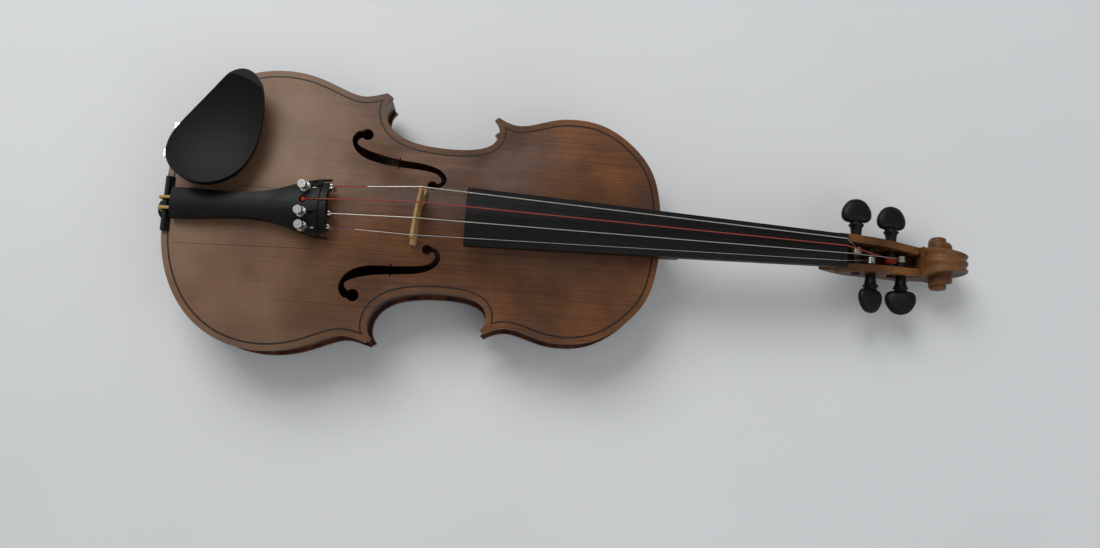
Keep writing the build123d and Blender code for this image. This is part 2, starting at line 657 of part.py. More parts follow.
def peg_cone(side, x, z, clearance, length):
    wide = PEG_SHAFT_WIDE + clearance
    cone = Cone(wide - length * PEG_TAPER, wide, length, align=(Align.CENTER, Align.CENTER, Align.MAX))
    return peg_plane(side, x, z) * cone


def peg_radius(depth):
    return PEG_SHAFT_WIDE - depth * PEG_TAPER


def peg(side, x, z, turn):
    """Tapered shaft, turned collar and a flat heart-shaped head."""
    profile = Polyline((0, -1.2), (PEG_SHAFT_WIDE, -1.2), (PEG_COLLAR_RADIUS - 0.8, -0.4),
                       (PEG_COLLAR_RADIUS, 0.4),
                       (PEG_COLLAR_RADIUS - 0.9, 1.3), (PEG_SHAFT_WIDE, PEG_HEAD_GAP + 0.4),
                       (PEG_SHAFT_WIDE, PEG_HEAD_GAP + 3), (0, PEG_HEAD_GAP + 3), close=True)
    collar = revolve(Plane.XZ * make_face(profile), axis=Axis.Z)
    half = PEG_HEAD_WIDTH / 2
    base = PEG_HEAD_GAP
    curve = Spline((4.4, base), (half - 1.5, base + 2.6), (half, base + 7.0), (half - 3.2, base + 13.5),
                   (0, base + PEG_HEAD_LENGTH), tangents=[(1, 0.15), (-1, 0)])
    other = mirror(curve, about=Plane.YZ)
    head = make_face(Curve() + [curve, other, Line(curve @ 0, other @ 0)])
    head = extrude(Plane.XZ * head, amount=PEG_HEAD_THICKNESS / 2, both=True)
    belly = Pos(0, 0, base + PEG_HEAD_LENGTH / 2 - 2) * scale(Sphere(1), by=(half * 1.5,
                                                                             PEG_HEAD_THICKNESS / 2, half * 1.35))
    head = Rot(0, 0, turn) * (head & belly)
    return peg_cone(side, x, z, 0, PEG_SHAFT_LENGTH) + peg_plane(side, x, z) * (collar + head)


def winding_depth(name, side, x):
    """How far down the shaft from the collar the string winds on, near the middle of the box."""
    lean = {"g": 3.0, "d": -1.0, "a": -1.0, "e": 3.0}[name]
    return PEG_COLLAR_OUT + cheek_y(x) - lean


def winding(name, side, x, z):
    """Turns of string on the peg, as a sleeve one string thick."""
    thick = STRINGS[name][0]
    depth = winding_depth(name, side, x)
    low = peg_radius(depth + WINDING_LENGTH / 2)
    high = peg_radius(depth - WINDING_LENGTH / 2)
    outside = Cone(low + thick, high + thick, WINDING_LENGTH)
    inside = Cone(low, high, WINDING_LENGTH)
    return peg_plane(side, x, z) * Pos(0, 0, -depth) * (outside - inside)


# ---- string band ----

def string_index(name):
    return 1.5 - STRING_ORDER.index(name)


def nut_point(name):
    radius = STRINGS[name][0] / 2
    y = string_index(name) * NUT_SPACING
    top = BOARD_NARROW_Z + NUT_PROUD - BOARD_RADIUS + sqrt(BOARD_RADIUS ** 2 - y ** 2)
    return Vector(BOARD_END + NUT_LENGTH / 2, y, top + radius + STRING_LIFT)


def bridge_plane():
    return Plane(origin=(BRIDGE_X, BRIDGE_Y, 0), x_dir=(-sin(BRIDGE_TURN * pi / -180),
                                                        cos(BRIDGE_TURN * pi / 180), 0),
                 z_dir=(cos(BRIDGE_TURN * pi / 180), -sin(BRIDGE_TURN * pi / 180), 0))


def bridge_point(name):
    """Where a string crosses the bridge, set by its height over the end of the board."""
    across = string_index(name) * BRIDGE_SPACING
    base = bridge_plane().from_local_coords(Vector(across, 0, 0))
    start = nut_point(name)
    share = (NUT_END - BOARD_START) / (NUT_END - base.X)
    y_board = start.Y + (base.Y - start.Y) * share
    over = board_top(BOARD_START) - BOARD_RADIUS + sqrt(BOARD_RADIUS ** 2 - y_board ** 2) + STRINGS[name][1]
    return Vector(base.X, base.Y, start.Z + (over - start.Z) / share)


def crown_circle():
    """Crown of the bridge: the circle under the four strings, in the bridge's own plane."""
    points = []
    for name in ("g", "d", "e"):
        point = bridge_point(name)
        points.append((string_index(name) * BRIDGE_SPACING, point.Z - STRINGS[name][0] / 2 - STRING_LIFT))
    return points


def bridge(under_top):
    """Carved bridge: two feet, waist, heart and crown, thinned towards the top."""
    base = TOP_EDGE_Z + TOP_ARCH - 3
    (yg, zg), (yd, zd), (ye, ze) = crown_circle()
    top_arc = ThreePointArc((yg, zg), (yd, zd), (ye, ze))
    half = BRIDGE_FEET / 2
    left = [(yg, zg), (yg + 1.4, zg - 0.6), (yg + 0.9, zg - 4.0), (yg - 1.2, base + 17.5), (yg + 0.8,
                                                                                            base + 15.6),
            (yg + 1.2, base + 13.2), (yg - 1.6, base + 12.2), (yg - 2.4, base + 9.6), (half - 3.4,
                                                                                       base + 6.6), (half,
                                                                                                     base + 5.2)]
    right = [(-y, z + (ze - zg if z > base + 16 else 0)) for y, z in left]
    legs = [(half, base), (half - 11.5, base), (half - 11.0, base + 5.6)]
    under = Spline((half - 11.0, base + 5.6), (0, base + 10.5), (11.0 - half, base + 5.6))
    edges = [top_arc, Polyline(*left), Line(left[-1], legs[0]), Polyline(*legs), under,
             Polyline(*[(-y, z) for y, z in reversed(legs)]), Line((-half, base), right[-1]),
             Polyline(*reversed(right))]
    face = make_face(Curve() + edges)
    heart = Pos(0, base + 15.5) * Ellipse(3.0, 2.6)
    blank = extrude(Plane.YZ * (face - heart), amount=BRIDGE_FOOT_THICKNESS / 2, both=True)
    high = max(zg, zd, ze) + 2
    side = Polyline((BRIDGE_FOOT_THICKNESS / 2, base), (BRIDGE_FOOT_THICKNESS, base),
                    (BRIDGE_FOOT_THICKNESS, high), (BRIDGE_TOP_THICKNESS / 2, high), close=True)
    wedge = extrude(Plane.XZ * make_face(side), amount=HIGH, both=True)
    blank = blank - wedge - mirror(wedge, about=Plane.YZ)
    return Pos(BRIDGE_X, BRIDGE_Y, 0) * Rot(0, 0, -BRIDGE_TURN) * blank - under_top


def tail_frame():
    """Plane on the tailpiece's crown at its narrow end, with x along it towards the bridge."""
    start = Vector(TAILPIECE_START, TAIL_Y, TAILPIECE_NARROW_Z)
    rise = TAILPIECE_WIDE_Z - TAILPIECE_NARROW_Z
    sideways = TAILPIECE_WIDE_Y - TAIL_Y
    run = sqrt(TAILPIECE_LENGTH ** 2 - rise ** 2 - sideways ** 2)
    along = Vector(run, sideways, rise).normalized()
    across = Vector(0, 0, 1).cross(along).normalized()
    return Plane(origin=start, x_dir=along, z_dir=along.cross(across))


def tail_outline(inset, longer=0.0):
    """Plan of the tailpiece: narrow end, waist and flared wide end."""
    wide = TAILPIECE_WIDE / 2 - inset
    narrow = TAILPIECE_NARROW / 2 - inset
    length = TAILPIECE_LENGTH
    curve = Spline((inset, narrow), (0.42 * length, 0.80 * narrow), (0.70 * length, 0.59 * wide),
                   (0.85 * length, 0.875 * wide), (length, wide), tangents=[(1, 0), (1, 0.02)])
    end = length + longer
    out = Line((length, wide), (end, wide)) if longer else None
    other = mirror(curve, about=Plane.XZ)
    parts = [curve, other, Line((inset, -narrow), (inset, narrow))]
    if out:
        parts += [out, mirror(out, about=Plane.XZ), Line((end, wide), (end, -wide))]
    else:
        parts += [Line((length, wide), (length, -wide))]
    return make_face(Curve() + parts)


def tail_crown(radius):
    """Cylinder along the tailpiece whose top line is its crown."""
    return Pos(-5, 0, -TAILPIECE_RADIUS) * Rot(0, 90, 0) * Cylinder(radius, TAILPIECE_LENGTH + 20,
                                                                  align=(Align.CENTER, Align.CENTER,
                                                                         Align.MIN))


def tail_surface(y):
    return sqrt(TAILPIECE_RADIUS ** 2 - y ** 2) - TAILPIECE_RADIUS


def screw_x():
    return TAILPIECE_LENGTH - KEYHOLE_FROM_END


def tail_string_y(name):
    return string_index(name) * TAIL_SPACING


def tailpiece():
    body = prism(tail_outline(0), -TAILPIECE_DEPTH, 5) & tail_crown(TAILPIECE_RADIUS)
    relief = Polyline((-5, -TAILPIECE_END_DEPTH), (0, -TAILPIECE_END_DEPTH), (0.6 * TAILPIECE_LENGTH,
                                                                              -TAILPIECE_DEPTH),
                      (0.6 * TAILPIECE_LENGTH, -HIGH / 4), (-5, -HIGH / 4), close=True)
    body = body - extrude(Plane.XZ * make_face(relief), amount=HIGH / 2, both=True)
    body = body - (prism(tail_outline(TAILPIECE_WALL, 8), -HIGH / 4, -TAILPIECE_ROOF)
                   & Pos(40, 0, 0) * Box(HIGH, HIGH, HIGH, align=(Align.MIN, Align.CENTER, Align.CENTER)))
    for name in STRING_ORDER:
        y = tail_string_y(name)
        hole = Circle(KEYHOLE_RADIUS) + Rectangle(KEYHOLE_RADIUS + 6, SLOT_WIDTH, align=(Align.MIN,
                                                                                         Align.CENTER))
        body = body - prism(Pos(screw_x(), y) * hole, -HIGH / 4, 5)
        if name in TUNERS:
            seat = tail_surface(abs(y) + 0.6) - 0.2
            body = body - Pos(screw_x(), y, seat) * Cylinder(COLLAR_RADIUS + 0.1, 9, align=(Align.CENTER,
                                                                                            Align.CENTER, Align.MIN))
    return body


def tailpiece_fret():
    """Raised bar across the wide end, over which the strings leave the tailpiece."""
    bar = tail_crown(TAILPIECE_RADIUS + FRET_PROUD) - tail_crown(TAILPIECE_RADIUS)
    middle = TAILPIECE_LENGTH - FRET_FROM_END
    bar = bar & prism(tail_outline(0.6), -HIGH / 8, 9)
    bar = bar & Pos(middle, 0, 0) * Box(FRET_WIDTH, HIGH, HIGH / 4)
    for name in STRING_ORDER:
        y = tail_string_y(name)
        bar = bar - Pos(middle, y, 0) * Box(FRET_WIDTH + 1, SLOT_WIDTH, HIGH / 4)
    return bar


def tailgut():
    """Gut loop from the tailpiece over the saddle and round the end button."""
    frame = tail_frame()
    half = GUT_SPACING / 2
    inner = [frame.from_local_coords(Vector(GUT_DEPTH, s * half, -GUT_DROP)) for s in (1, -1)]
    radius = GUT_DIAMETER / 2
    ring = BUTTON_NECK_RADIUS + radius + 0.25
    out = -radius - 0.6
    saddle_z = TOP_EDGE_Z + SADDLE_PROUD + radius
    edge = [Vector(out, TAIL_Y + s * half, saddle_z) for s in (1, -1)]
    low = [Vector(out, TAIL_Y + s * ring, BUTTON_Z - ring) for s in (1, -1)]
    path = FilletPolyline(inner[0], edge[0], low[0], low[1], edge[1], inner[1], radius=[2.5, ring - 0.02,
                                                                                        ring - 0.02, 2.5])
    start = Plane(origin=path @ 0, z_dir=path % 0)
    return sweep(start * Circle(radius), path=path)


def saddle():
    """Bar let into the tail edge of the front, rounded where the gut turns down."""
    side = [(0, TOP_Z), (SADDLE_WIDTH, TOP_Z), (SADDLE_WIDTH, TOP_EDGE_Z + 1.2), (SADDLE_WIDTH - 2.6,
                                                                                  TOP_EDGE_Z + SADDLE_PROUD - 0.3),
            (2.2, TOP_EDGE_Z + SADDLE_PROUD), (0.3, TOP_EDGE_Z + SADDLE_PROUD - 1.6)]
    bar = extrude(Plane.XZ * make_face(Polyline(*side, close=True)), amount=SADDLE_LENGTH / 2, both=True)
    return Pos(0, TAIL_Y, 0) * bar


def end_button():
    """Turned button: tapered pin in the lower block, neck for the gut and a domed head."""
    neck_end = -BUTTON_NECK
    head_end = neck_end - BUTTON_HEAD
    profile = Polyline((BUTTON_PIN_LENGTH, 0), (BUTTON_PIN_LENGTH, BUTTON_NECK_RADIUS), (neck_end,
                                                                                         BUTTON_NECK_RADIUS),
                       (neck_end, BUTTON_Z_RADIUS - 0.5), (neck_end - 0.5, BUTTON_Z_RADIUS),
                       (head_end + 1.5, BUTTON_Z_RADIUS), (head_end + 0.4,
                                                           BUTTON_Z_RADIUS - 1.6), (head_end,
                                                                                    0), close=True)
    solid = revolve(make_face(profile), axis=Axis.X)
    return Pos(OVERHANG, TAIL_Y, BUTTON_Z) * solid


# ---- fine tuners, drawn in the tailpiece's plane ----

def tuner_seat(name):
    return tail_surface(abs(tail_string_y(name)) + 0.6) - 0.2


def upright(radius, low, high):
    return Pos(0, 0, low) * Cylinder(radius, high - low, align=(Align.CENTER, Align.CENTER, Align.MIN))


def pivot_z():
    return -TAILPIECE_ROOF - PIVOT_DROP


def tuner_body(name):
    """Sleeve through the tailpiece, plate under its ceiling, two ears and the pivot pin."""
    ceiling = -TAILPIECE_ROOF
    sleeve = upright(SLEEVE_RADIUS, ceiling, tuner_seat(name) + COLLAR_HEIGHT + 0.6)
    plate = Pos(-2.6, 0, ceiling - TUNER_PLATE)
    plate = plate * Box(PIVOT_FORWARD + 5, TUNER_WIDTH, TUNER_PLATE, align=(Align.MIN, Align.CENTER,
                                                                            Align.MIN))
    body = sleeve + plate
    for side in (1, -1):
        ear = Pos(PIVOT_FORWARD - 2.2, side * (TUNER_WIDTH - TUNER_EAR) / 2, pivot_z() - 1.6)
        body = body + ear * Box(4.6, TUNER_EAR, PIVOT_DROP - TUNER_PLATE + 1.8, align=(Align.MIN,
                                                                                       Align.CENTER, Align.MIN))
    pin = Pos(PIVOT_FORWARD, 0, pivot_z()) * Rot(90, 0, 0) * Cylinder(PIVOT_RADIUS, TUNER_WIDTH)
    return body + pin - upright(SCREW_RADIUS + THREAD_CLEARANCE, -HIGH / 4, 9)


def tuner_lever():
    """Rocking lever: a pad under the screw, the pivot eye, and the hook past the tailpiece."""
    width = TUNER_WIDTH - 2 * TUNER_EAR - 0.4
    low = pivot_z() - LEVER_THICKNESS / 2
    high = low + LEVER_THICKNESS
    top = pivot_z() + HOOK_HEIGHT
    side = Polyline((-2.2, low), (HOOK_FORWARD, low), (HOOK_FORWARD, top), (HOOK_FORWARD - 1.5, top),
                    (HOOK_FORWARD - 1.5, high), (-2.2, high), close=True)
    lever = extrude(Plane.XZ * make_face(side), amount=width / 2, both=True)
    eye = Pos(PIVOT_FORWARD, 0, pivot_z()) * Rot(90, 0, 0)
    lever = lever + eye * Cylinder(PIVOT_RADIUS + 1.0, width)
    slot = Pos(HOOK_FORWARD, 0, top - 2.6) * Box(6, 1.4, 8, align=(Align.CENTER, Align.CENTER, Align.MIN))
    return lever - eye * Cylinder(PIVOT_RADIUS + THREAD_CLEARANCE, TUNER_WIDTH) - slot


def tuner_screw(name):
    """Knurled screw whose tip bears on the lever."""
    tip = pivot_z() + LEVER_THICKNESS / 2 + LEVER_GAP
    under_head = tuner_seat(name) + COLLAR_HEIGHT + 0.6 + SCREW_LIFT
    shaft = upright(SCREW_RADIUS, tip, under_head)
    head = upright(SCREW_HEAD_RADIUS, under_head, under_head + SCREW_HEAD_HEIGHT)
    edges = head.edges().filter_by(GeomType.CIRCLE)
    head = chamfer(edges, 0.4)
    return shaft + head


def tuner_collar(name):
    """Nut that clamps the sleeve to the tailpiece."""
    seat = tuner_seat(name)
    ring = upright(COLLAR_RADIUS, seat, seat + COLLAR_HEIGHT)
    return ring - upright(SLEEVE_RADIUS, seat - 1, seat + COLLAR_HEIGHT + 1)


def at_tuner(name, solid):
    return tail_frame() * Pos(screw_x(), tail_string_y(name), 0) * solid


# ---- strings ----

def tail_point(name):
    """Where the string starts: on the tuner's hook, or under the fret for the D string."""
    frame = tail_frame()
    if name in TUNERS:
        local = Vector(screw_x() + HOOK_FORWARD + 0.35, tail_string_y(name), pivot_z() + HOOK_HEIGHT - 1.2)
        return [frame.from_local_coords(local)]
    start = Vector(screw_x() + KNOT_RADIUS + 0.1, tail_string_y(name),
                   tail_surface(tail_string_y(name)) - 1.2)
    lift = tail_surface(tail_string_y(name)) + FRET_PROUD + 0.15
    over = Vector(TAILPIECE_LENGTH - FRET_FROM_END, tail_string_y(name), lift)
    return [frame.from_local_coords(start), frame.from_local_coords(over)]


def peg_point(name, side, x, z):
    """Point just short of the winding on top of the peg, seen from the nut."""
    thick = STRINGS[name][0]
    depth = winding_depth(name, side, x)
    y = side * (cheek_y(x) + PEG_COLLAR_OUT - depth)
    radius = peg_radius(depth) + thick / 2
    start = nut_point(name)
    touch = Vector(x, y, z + radius)
    back = (start - touch).normalized() * 1.5
    return touch + back + Vector(0, 0, WINDING_GAP + thick / 2)


def string(name, side, x, z):
    """String from its tail end over the bridge and the nut to the peg."""
    points = tail_point(name) + [bridge_point(name), nut_point(name), peg_point(name, side, x, z)]
    bends = [4.0] * (len(points) - 3) + [1.2]
    path = FilletPolyline(*points, radius=bends)
    start = Plane(origin=path @ 0, z_dir=path % 0)
    return sweep(start * Circle(STRINGS[name][0] / 2), path=path)


def string_knot():
    """Knot at the end of the D string, held in its keyhole."""
    place = Vector(screw_x(), tail_string_y("d"), tail_surface(tail_string_y("d")) - KNOT_SUNK)
    return Pos(tail_frame().from_local_coords(place)) * Sphere(KNOT_RADIUS)


# ---- chinrest ----

def cup_outline():
    points = [(5.5, 31), (12, 15.5), (35, 8.5), (56, 20), (67, 48), (67, 73), (61, 88.5), (53, 92), (34,
                                                                                                     79.5), (13.5, 53)]
    return make_face(Spline(*points, periodic=True))


def foot_area():
    """Band along the plate edge that the chinrest stands on."""
    band = outline_face(0.6) - outline_face(CHANNEL - FOOT_SHORT)
    low = POSTS[0] - FOOT_MARGIN
    length = POSTS[1] - POSTS[0] + 2 * FOOT_MARGIN
    return band & Pos(0, low) * Rectangle(60, length, align=(Align.CENTER, Align.MIN))


def chinrest_cup():
    """Dished cup with the foot that stands on the cork at the edge of the front."""
    cup = prism(cup_outline(), CUP_Z, CUP_Z + CUP_THICKNESS)
    cup = fillet(cup.faces().sort_by(Axis.Z)[0].edges(), 4.5)
    dish = Pos(CUP_MIDDLE[0], CUP_MIDDLE[1], CUP_Z + CUP_THICKNESS - CUP_DISH + CUP_DISH_RADIUS)
    cup = cup - dish * Sphere(CUP_DISH_RADIUS)
    foot = prism(foot_area() & cup_outline(), TOP_EDGE_Z + CORK, CUP_Z + 2)
    return cup + (foot - dish * Sphere(CUP_DISH_RADIUS))


def edge_x(y):
    """x of the plate edge at the tail, at a distance y from the centre line."""
    line = Line((-20, y), (40, y))
    return min(v.X for v in (outline_face() & line).vertices())


def post_axis(y):
    return Vector(edge_x(y) - POST_OUT, y, 0)


def bracket(z_arm, z_tip, inward):
    """One post with its level arm: the stud runs from the arm to the tip."""
    low = min(z_arm, z_tip)
    stud = upright(STUD_RADIUS, low, max(z_arm, z_tip))
    arm = Box(inward + STUD_RADIUS, ARM_WIDTH, ARM_THICKNESS, align=(Align.MIN, Align.CENTER, Align.CENTER))
    arm = Pos(-STUD_RADIUS - 0.6, 0, z_arm) * arm
    return stud + arm


def chinrest_brackets():
    """Upper studs, whose arms are screwed into the foot of the cup, and the lower clamp foot."""
    upper = []
    lower = []
    arm_top = TOP_EDGE_Z + CORK + 2
    arm_low = BACK_EDGE_Z - CORK - ARM_THICKNESS / 2 - 0.2
    for y in POSTS:
        at = Pos(post_axis(y))
        upper.append(at * bracket(arm_top, BARREL_Z + BARREL_LENGTH / 2 + 2, POST_OUT + 5.5))
        lower.append(at * bracket(arm_low, BARREL_Z + BARREL_LENGTH / 2 - 2, POST_OUT + FOOT_REACH))
    bar_x = max(post_axis(y).X for y in POSTS) + POST_OUT + 2
    bar = Pos(bar_x, sum(POSTS) / 2, arm_low) * Box(5, POSTS[1] - POSTS[0], ARM_THICKNESS)
    return Compound(upper), lower[0] + bar + lower[1]


def barrel(y):
    """Turnbuckle that draws the two studs of one post together."""
    tube = upright(BARREL_RADIUS, BARREL_Z, BARREL_Z + BARREL_LENGTH)
    tube = tube - upright(STUD_RADIUS + THREAD_CLEARANCE, BARREL_Z - 1, BARREL_Z + BARREL_LENGTH + 1)
    hole = Pos(0, 0, BARREL_Z + BARREL_LENGTH / 2) * Rot(0, 90, 0) * Cylinder(0.9, 4 * BARREL_RADIUS)
    return Pos(post_axis(y)) * (tube - hole)


def cork_pads(foot):
    """Cork under the cup's foot, and cork on the clamp foot under the back's edge."""
    top = prism(foot_area() & cup_outline(), TOP_EDGE_Z, TOP_EDGE_Z + CORK)
    area = foot_area()
    low = prism(area, BACK_EDGE_Z - CORK - 0.2, BACK_EDGE_Z)
    shadow = Pos(0, 0, CORK) * foot
    return top, low & shadow


# ---- assembly ----

def soundbox():
    top, under_top = plate(TOP_Z, TOP_EDGE_Z, TOP_ARCH, TOP_THICKNESS, True)
    button = Pos(BODY_LENGTH - 1, 0, BACK_EDGE_Z)
    button = button * Cylinder(BUTTON_RADIUS, EDGE_THICKNESS, align=(Align.CENTER, Align.CENTER, Align.MIN))
    back, over_back = plate(BACK_Z, BACK_EDGE_Z, BACK_ARCH, BACK_THICKNESS, False, button)
    top_purfling = purfling_ring(TOP_EDGE_Z - PURFLING_DEPTH, TOP_EDGE_Z, PURFLING_GAP)
    back_purfling = purfling_ring(BACK_EDGE_Z, BACK_EDGE_Z + PURFLING_DEPTH, PURFLING_GAP)
    bar = saddle()
    wood = neck()
    groove = purfling_ring(TOP_EDGE_Z - PURFLING_DEPTH, TOP_EDGE_Z + 1, 0)
    seat = Pos(-1, TAIL_Y, TOP_Z - 1) * Box(SADDLE_WIDTH + 1, SADDLE_LENGTH, HIGH / 4, align=(Align.MIN,
                                                                                              Align.CENTER, Align.MIN))
    top = top - groove - f_hole(1) - f_hole(-1) - seat - wood
    top_purfling = top_purfling - seat - wood
    back = back - purfling_ring(BACK_EDGE_Z - 1, BACK_EDGE_Z + PURFLING_DEPTH, 0)
    button_pin = end_button()
    lower, upper, corners = blocks()
    pieces = {"front_bass": halves(top)[0], "front_treble": halves(top)[1],
              "back_bass": halves(back)[0], "back_treble": halves(back)[1],
              "purfling_front": top_purfling, "purfling_back": back_purfling,
              "block_lower": lower - button_pin, "block_upper": upper - wood, "blocks_corner": corners,
              "linings_front": linings(TOP_Z - LINING_HEIGHT), "linings_back": linings(BACK_Z),
              "bass_bar": bass_bar(under_top), "sound_post": sound_post(under_top, over_back),
              "neck": wood, "saddle": bar, "end_button": button_pin}
    for name, rib in ribs().items():
        pieces[name] = rib - button_pin - wood
    outer = arch_volume(TOP_EDGE_Z, TOP_ARCH, True)
    pieces["bridge"] = bridge(outer)
    return pieces


def fittings():
    frame = tail_frame()
    pieces = {"fingerboard": fingerboard(), "nut": nut(), "tailgut": tailgut(),
              "tailpiece": frame * tailpiece() - tailgut(), "tailpiece_fret": frame * tailpiece_fret()}
    for name in TUNERS:
        pieces[f"tuner_bracket_{name}"] = at_tuner(name, tuner_body(name))
        pieces[f"tuner_lever_{name}"] = at_tuner(name, tuner_lever())
        pieces[f"tuner_screw_{name}"] = at_tuner(name, tuner_screw(name))
    pieces["tuner_collars"] = Compound([at_tuner(name, tuner_collar(name)) for name in TUNERS])
    for name, side, x, z, turn in PEGS:
        pieces[f"peg_{name}"] = peg(side, x, z, turn)
        pieces[f"winding_{name}"] = winding(name, side, x, z)
        pieces[f"string_{name}"] = string(name, side, x, z)
    pieces["string_knot_d"] = string_knot()
    return pieces


def chinrest():
    upper, lower = chinrest_brackets()
    top_cork, low_cork = cork_pads(lower)
    return {"chinrest_cup": chinrest_cup() - upper, "chinrest_studs": upper, "chinrest_foot": lower,
            "chinrest_barrel_inner": barrel(POSTS[0]), "chinrest_barrel_outer": barrel(POSTS[1]),
            "chinrest_cork": top_cork, "chinrest_foot_cork": low_cork}


os.makedirs("parts", exist_ok=True)
nodes = {**soundbox(), **fittings(), **chinrest()}
for node, shape in nodes.items():
    export_step(Pos(-MIDDLE_X, 0, 0) * shape, f"parts/{node}.step")
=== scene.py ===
import json

import bpy
import bmesh
import numpy as np
from mathutils import Matrix, Vector


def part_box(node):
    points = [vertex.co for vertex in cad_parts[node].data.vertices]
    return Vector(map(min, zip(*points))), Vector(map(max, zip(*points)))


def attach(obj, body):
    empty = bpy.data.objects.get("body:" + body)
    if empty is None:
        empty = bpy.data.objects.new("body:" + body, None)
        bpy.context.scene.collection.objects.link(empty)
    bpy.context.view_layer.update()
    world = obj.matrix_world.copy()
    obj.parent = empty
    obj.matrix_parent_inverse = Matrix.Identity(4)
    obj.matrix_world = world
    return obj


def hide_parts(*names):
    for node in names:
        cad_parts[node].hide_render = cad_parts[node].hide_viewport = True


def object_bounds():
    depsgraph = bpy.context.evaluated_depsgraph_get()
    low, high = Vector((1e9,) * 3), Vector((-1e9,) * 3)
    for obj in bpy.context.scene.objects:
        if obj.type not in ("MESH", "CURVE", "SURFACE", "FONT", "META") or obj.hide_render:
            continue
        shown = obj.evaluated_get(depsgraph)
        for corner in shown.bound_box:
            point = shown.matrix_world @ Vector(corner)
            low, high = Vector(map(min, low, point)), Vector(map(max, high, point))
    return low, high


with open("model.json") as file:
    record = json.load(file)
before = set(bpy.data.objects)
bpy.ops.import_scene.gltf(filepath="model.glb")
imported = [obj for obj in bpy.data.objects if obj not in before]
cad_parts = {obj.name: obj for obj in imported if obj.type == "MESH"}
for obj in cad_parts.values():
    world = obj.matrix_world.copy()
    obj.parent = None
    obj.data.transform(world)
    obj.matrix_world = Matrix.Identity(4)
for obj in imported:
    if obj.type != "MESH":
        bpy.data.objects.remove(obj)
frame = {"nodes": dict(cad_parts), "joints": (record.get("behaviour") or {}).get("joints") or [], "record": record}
cad_low, cad_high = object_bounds()
NODES = frame["nodes"]

MM = 0.001
TAU = 2 * np.pi
WELD = 2e-6                     # points closer than this become one, in metres

BODY_LENGTH = 0.356
BRIDGE_SHARE = 0.5084           # the bridge's place along the body, from the tail
TAIL_EDGE = float(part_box("front_bass")[0].x)       # x of the plates' tail edge
BRIDGE_LINE = TAIL_EDGE + BRIDGE_SHARE * BODY_LENGTH


# ---- materials ----

def linear(code):
    """sRGB hex to the linear colour a shader reads."""
    share = np.array([int(code[i:i + 2], 16) for i in (1, 3, 5)]) / 255
    return (*np.where(share <= 0.04045, share / 12.92, ((share + 0.055) / 1.055) ** 2.4), 1.0)


def add(tree, kind, settings=None, **inputs):
    """Adds a node with its settings; an input is a value or another node's output. An
    underscore in an input's name stands for a space, and i0, i1 and so on are numbered."""
    made = tree.nodes.new("ShaderNode" + kind)
    for name, value in (settings or {}).items():
        setattr(made, name, value)
    for name, value in inputs.items():
        numbered = name[0] == "i" and name[1:].isdigit()
        socket = made.inputs[int(name[1:]) if numbered else name.replace("_", " ")]
        if isinstance(value, bpy.types.NodeSocket):
            tree.links.new(value, socket)
        elif isinstance(value, str):
            socket.default_value = linear(value)
        else:
            socket.default_value = value
    return made


def ramp(tree, value, *stops):
    """Colours along a value: stops are (place, sRGB hex)."""
    made = add(tree, "ValToRGB", Fac=value)
    band = made.color_ramp
    while len(band.elements) < len(stops):
        band.elements.new(0.5)
    for element, (place, code) in zip(band.elements, stops):
        element.position = place
        element.color = linear(code)
    return made.outputs["Color"]


def start(name):
    """A new material: its tree, its shader and the object coordinates in metres."""
    made = bpy.data.materials.new(name)
    made.use_nodes = True
    tree = made.node_tree
    shader = tree.nodes["Principled BSDF"]
    place = add(tree, "TexCoord").outputs["Object"]
    return made, tree, shader, place


def mixed(tree, share, first, second, how="MIX"):
    """Two colours mixed by a share; each is a hex code or another node's output."""
    made = add(tree, "Mix", {"data_type": "RGBA", "blend_type": how}, i0=share)
    for socket, value in ((made.inputs[6], first), (made.inputs[7], second)):
        if isinstance(value, str):
            socket.default_value = linear(value)
        else:
            tree.links.new(value, socket)
    return made.outputs[2]


def stretched(tree, place, x, y, z, scale, detail=3.0):
    """Noise stretched along the long grain of the wood; x, y and z are in cells per metre."""
    moved = add(tree, "Mapping", Vector=place, Scale=(x, y, z)).outputs["Vector"]
    return add(tree, "TexNoise", Vector=moved, Scale=scale, Detail=detail).outputs["Fac"]


def bump(tree, shader, height, distance, strength):
    """Raises the surface by a pattern; distance is its full height in metres."""
    made = add(tree, "Bump", Height=height, Distance=distance, Strength=strength)
    tree.links.new(made.outputs["Normal"], shader.inputs["Normal"])


# two cracks in the top, each from one place to another in metres
CRACKS = (((-0.2841, -0.0305), (-0.1845, -0.0294)), ((-0.2428, 0.0131), (-0.2147, 0.0124)))
CRACK_HALF = 0.00016            # half width, a little over the real one, so that it shows
SHEEN_AHEAD = 0.05              # the painted sheen of reflected light starts this far in front of the bridge and is fullest this far from the tail edge
SHEEN_FULL = 0.08               # and is fullest this far from the tail edge


def crack(tree, place, begin, end):
    """One where a point lies on a straight crack in the top, nearly along the grain."""
    split = add(tree, "SeparateXYZ", Vector=place).outputs
    slope = (end[1] - begin[1]) / (end[0] - begin[0])

    def sum_up(operation, *values):
        """Result of one arithmetic node."""
        given = {f"i{k}": value for k, value in enumerate(values)}
        return add(tree, "Math", {"operation": operation}, **given).outputs[0]

    line = sum_up("MULTIPLY_ADD", split["X"], -slope, slope * begin[0] - begin[1])
    off = sum_up("ABSOLUTE", sum_up("ADD", split["Y"], line))
    near = sum_up("LESS_THAN", off, CRACK_HALF)
    after = sum_up("GREATER_THAN", split["X"], begin[0])
    before = sum_up("LESS_THAN", split["X"], end[0])
    return sum_up("MULTIPLY", sum_up("MULTIPLY", after, before), near)


